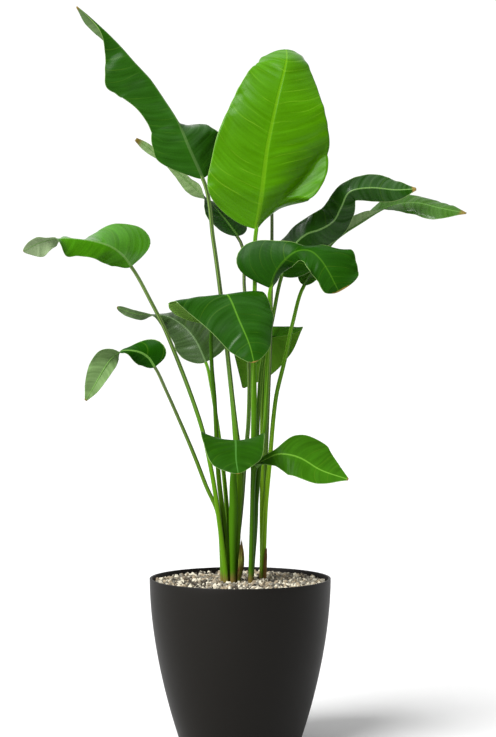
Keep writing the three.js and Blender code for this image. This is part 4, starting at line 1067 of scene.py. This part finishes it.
class PLANT_OT_stalks(bpy.types.Operator):
    """Make the grooved stalks"""
    bl_idname = "plant.stalks"
    bl_label = "Stalks"

    def execute(self, context):
        s = context.scene.plant_stalks
        shape = stalk_shape(s.sides)
        for seed, (name, leaf) in enumerate(LEAVES.items(), 1):
            shares = np.linspace(0, 1, 400)
            line, end, along, face = stalk_line(leaf, shares)
            reach = reach_of(line)
            count = int(reach[-1] / (s.step / MM)) + 2
            t = np.interp(np.linspace(0, reach[-1], count), reach, shares)
            line = stalk_line(leaf, t)[0]
            radius = stalk_radius(leaf, t, line[:, 2])
            # It runs on under its blade, thinner and a little deeper.
            extra = np.linspace(0, s.into_blade / MM, 5)[1:]
            sunk = np.minimum(1, extra[:, None] / 9) * -0.4
            line = np.concatenate((line, end + along * extra[:, None] + face * sunk))
            radius = np.concatenate((radius, radius[-1] * (1 - 0.62 * extra / extra[-1])))
            t = np.concatenate((t, np.ones(4)))[:, None]
            # The groove looks to the middle of its shoot, and at the top as the blade does.
            tangent = unit(np.gradient(line, axis=0))
            inward = np.array([[*np.subtract(leaf.foot, leaf.rib[0][:2]), 0.0]])
            looks = unit(inward) * (1 - t) + face * t**2
            looks = unit(looks - (looks * tangent).sum(1, keepdims=True) * tangent)

            mesh = bpy.data.meshes.new(f"{name}_stem")
            mesh.from_pydata(line * MM, [(i, i + 1) for i in range(len(line) - 1)], [])
            store(mesh, "size", radius * MM)
            store(mesh, "looks", looks)
            piece = link(f"{name}_stem", mesh)
            material = self.material(f"{name} stalk", *STALK_LOOKS[name], s, seed)
            shape.bake(piece, {"Groove depth": s.groove, "Material": material})
            stand_for(piece, "stalk_" + STALK_LOOKS[name][0], f"{name}_stalk")
        return {"FINISHED"}

    def material(self, name, body, foot, bloom, s, seed):
        net = Net.material(name)
        run, turn = net.reads("run", "Fac"), net.reads("turn", "Fac")
        height = net.split(net.place())[2]
        near = 1 - abs((turn - 0.5) * 2)
        grain = net.noise(net.join(turn * 14, run * 9, seed * 3.1), detail=3.0)
        cloud = net.noise(net.join(turn * 2, run * 7, seed * 1.7), detail=3.0)
        # The body: green is lit, dark is the same green with painted shade, and grey is bloom
        # towards the top.
        green = net.blend(height.step(0.5, 0.85) * bloom, getattr(s, body), s.grey)
        green = net.shade(green, 0.66 + 0.36 * grain + 0.32 * cloud)
        green = net.blend((1 - abs(near - LIP_PLACE).step(0.02, 0.07)) * 0.55, green, s.lip)
        # The lower part takes the foot's colour: yellowish for most, painted shade where it is
        # dark, and painted light where it is lime.
        green = net.blend(height.step(0.7, 0.5) * 0.85, green,
                          net.shade(getattr(s, foot), 0.7 + 0.6 * grain))
        husk = (height + (grain - 0.5) * 0.03).step(0.345, 0.322)
        green = net.blend(husk * 0.8, green, net.shade(s.husk, 0.6 + 0.8 * grain))
        return net.finish(net.skin(green, 0.45 + (cloud - 0.5) * 0.2 + husk * 0.3, 0.05,
                                   (grain, 0.0005, 0.5)))


class PLANT_OT_sheaths(bpy.types.Operator):
    """Make the dry sheaths at the foot of two stalks"""
    bl_idname = "plant.sheaths"
    bl_label = "Dry sheaths"

    def execute(self, context):
        s = context.scene.plant_sheaths
        net = Net.material("dry sheath")
        along, across, _ = net.split(net.reads("vein"))
        fibre = net.noise(net.join(across * 900, along * 30), 1.0, 3.0, 0.7)
        cloud = net.noise(net.place(), 60.0)
        share = ((fibre - 0.5) * 2.2 + (cloud - 0.5) * 1.6 + 0.5).share()
        fresh = net.split(net.place())[0].step(0.02, 0.01) * cloud.step(0.3, 0.55)
        pale = net.blend(fresh, s.brown, s.moss)
        material = net.finish(net.skin(net.blend(share, s.dark, pale), 0.85, 0.2,
                                       (fibre, 0.0008, 1.0)))
        self.sheath(s, material, "left", "leaf_01", start=-80, stop=30, high=404,
                    air=1.2, bulge=6)
        self.sheath(s, material, "right", "leaf_13", start=-90, stop=0, high=383,
                    air=0.9, bulge=0)
        return {"FINISHED"}

    def sheath(self, s, material, side, stalk, start, stop, high, air, bulge):
        """One sheath round its stalk, from one angle to another and up to its top,
        with air beside the stalk and a bulge halfway up."""
        rng = np.random.default_rng(len(side))
        t = np.linspace(0, 1, 1500)
        line = stalk_line(LEAVES[stalk], t)[0]
        rows, cols, low = 56, 30, 300  # it starts inside the gravel
        share = np.linspace(0, 1, rows)[:, None]
        across = np.linspace(-1, 1, cols)
        # The torn top: each column of fibres ends at its own height.
        torn = 1 - 0.16 * (0.5 + 0.5 * wander(across * 10, 1.6, rng)) - 0.06 * np.abs(across)
        z = low + (high - low) * share * torn
        k = np.clip(np.searchsorted(line[:, 2], z), 0, len(t) - 1)
        narrow = np.where(share < 0.65, 1, 1 - 0.45 * (np.maximum(share - 0.65, 0) / 0.35) ** 1.5)
        angle = (math.radians((start + stop) / 2)
                 - math.radians((stop - start) / 2) * narrow * across)
        radius = (stalk_radius(LEAVES[stalk], t[k], z) + air + 0.6 * share ** 2
                  + bulge * np.sin(np.pi * np.maximum(0, share - 0.25) / 0.75) ** 1.5
                  + 0.25 * wander(across * 12, 1.0, rng) * (0.4 + share))

        def wall(r):
            return np.stack((line[k, 0] + r * np.cos(angle), line[k, 1] + r * np.sin(angle), z), -1)

        points, faces = sheet_skin(wall(radius) * MM, wall(radius + s.thickness / MM) * MM)
        piece = new_piece(f"dry_sheath_{side}_fibres", points, [face[::-1] for face in faces],
                          material)
        vein = np.stack((z - low, radius * angle, 0 * z), -1) * MM
        store(piece.data, "vein", np.concatenate((vein, vein)))
        stand_for(piece, "sheath", f"dry_sheath_{side}")


class PLANT_OT_blades(bpy.types.Operator):
    """Make the fourteen leaf blades"""
    bl_idname = "plant.blades"
    bl_label = "Leaf blades"

    def execute(self, context):
        s = context.scene.plant_blades
        for seed, (name, leaf) in enumerate(LEAVES.items(), 1):
            material = blade_material(f"{name} blade", LOOKS[name], s)
            piece = blade_piece(f"{name}_leaf", leaf, LOOKS[name], s, seed, material)
            stand_for(piece, SLOTS.get(name, "blade_bright"), f"{name}_blade")
        return {"FINISHED"}


class PLANT_OT_stage(bpy.types.Operator):
    """Make the floor, the light and the camera"""
    bl_idname = "plant.stage"
    bl_label = "Stage"

    def execute(self, context):
        s, scene = context.scene.plant_stage, context.scene
        net = Net.material("plain floor")
        haze = net.noise(net.place(), 1.5)
        material = net.finish(net.skin(net.shade(s.floor_colour, 0.985 + 0.03 * haze), 0.9, 0.1))
        corners = [(x * FLOOR_HALF, y * FLOOR_HALF, 0)
                   for x, y in ((-1, -1), (1, -1), (1, 1), (-1, 1))]
        floor = new_piece("floor", corners, [(0, 1, 2, 3)], material)

        scene.world = bpy.data.worlds.new("studio")
        scene.world.use_nodes = True
        scene.world.node_tree.nodes.clear()
        net = Net(scene.world.node_tree)
        _, y, z = net.split(net.add("ShaderNodeTexCoord", out="Generated"))
        # A low bright wall runs round the sides, as round a studio floor.
        wall = abs(z).step(0.3, 0.15) * y.step(-0.6, -0.2)
        light = (y * 0.8 + z * 0.6).step(-0.3, 0.45).most(wall) * (s.bright - s.dim) + s.dim
        sky = net.add("ShaderNodeBackground", {"Color": (1.0, 1.0, 1.0), "Strength": light})
        net.add("ShaderNodeOutputWorld", {"Surface": sky}, None)

        lamp = link("key", bpy.data.lights.new("key", "SUN"))
        lamp.data.energy, lamp.data.angle = s.key, s.key_angle
        lamp.location = KEY_PLACE
        lamp.rotation_euler = (-mathutils.Vector(KEY_PLACE)).to_track_quat("-Z", "Y").to_euler()

        camera = link("camera", bpy.data.cameras.new("camera"))
        camera.data.lens, camera.data.sensor_width, camera.data.clip_end = s.lens, 36.0, 200
        camera.location = (EYE_ASIDE, -s.eye_back, s.eye_height)
        camera.rotation_euler = (math.pi / 2, 0, 0)
        scene.camera = camera
        scene.view_settings.view_transform = "Standard"
        return {"FINISHED"}


STEPS = (  # each operator, its settings and their name in the scene
    (PLANT_OT_stage, StageSettings, "plant_stage"),
    (PLANT_OT_planter, PlanterSettings, "plant_planter"),
    (PLANT_OT_gravel, GravelSettings, "plant_gravel"),
    (PLANT_OT_stalks, StalkSettings, "plant_stalks"),
    (PLANT_OT_sheaths, SheathSettings, "plant_sheaths"),
    (PLANT_OT_blades, BladeSettings, "plant_blades"),
)


class PLANT_PT_panel(bpy.types.Panel):
    """The plant's pieces and their sizes"""
    bl_idname = "PLANT_PT_panel"
    bl_label = "Potted plant"
    bl_space_type = "VIEW_3D"
    bl_region_type = "UI"
    bl_category = "Potted plant"

    def draw(self, context):
        for operator, group, name in STEPS:
            box = self.layout.box()
            box.operator(operator.bl_idname)
            for setting in group.__annotations__:
                box.prop(getattr(context.scene, name), setting)


def register():
    for operator, group, name in STEPS:
        bpy.utils.register_class(group)
        setattr(bpy.types.Scene, name, PointerProperty(type=group))
        bpy.utils.register_class(operator)
    bpy.utils.register_class(PLANT_PT_panel)


def unregister():
    bpy.utils.unregister_class(PLANT_PT_panel)
    for operator, group, name in reversed(STEPS):
        bpy.utils.unregister_class(operator)
        delattr(bpy.types.Scene, name)
        bpy.utils.unregister_class(group)


def main():
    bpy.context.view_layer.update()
    register()
    bpy.ops.plant.stage()
    bpy.ops.plant.planter()
    bpy.ops.plant.gravel()
    bpy.ops.plant.stalks()
    bpy.ops.plant.sheaths()
    bpy.ops.plant.blades()


if __name__ == "__main__":
    main()
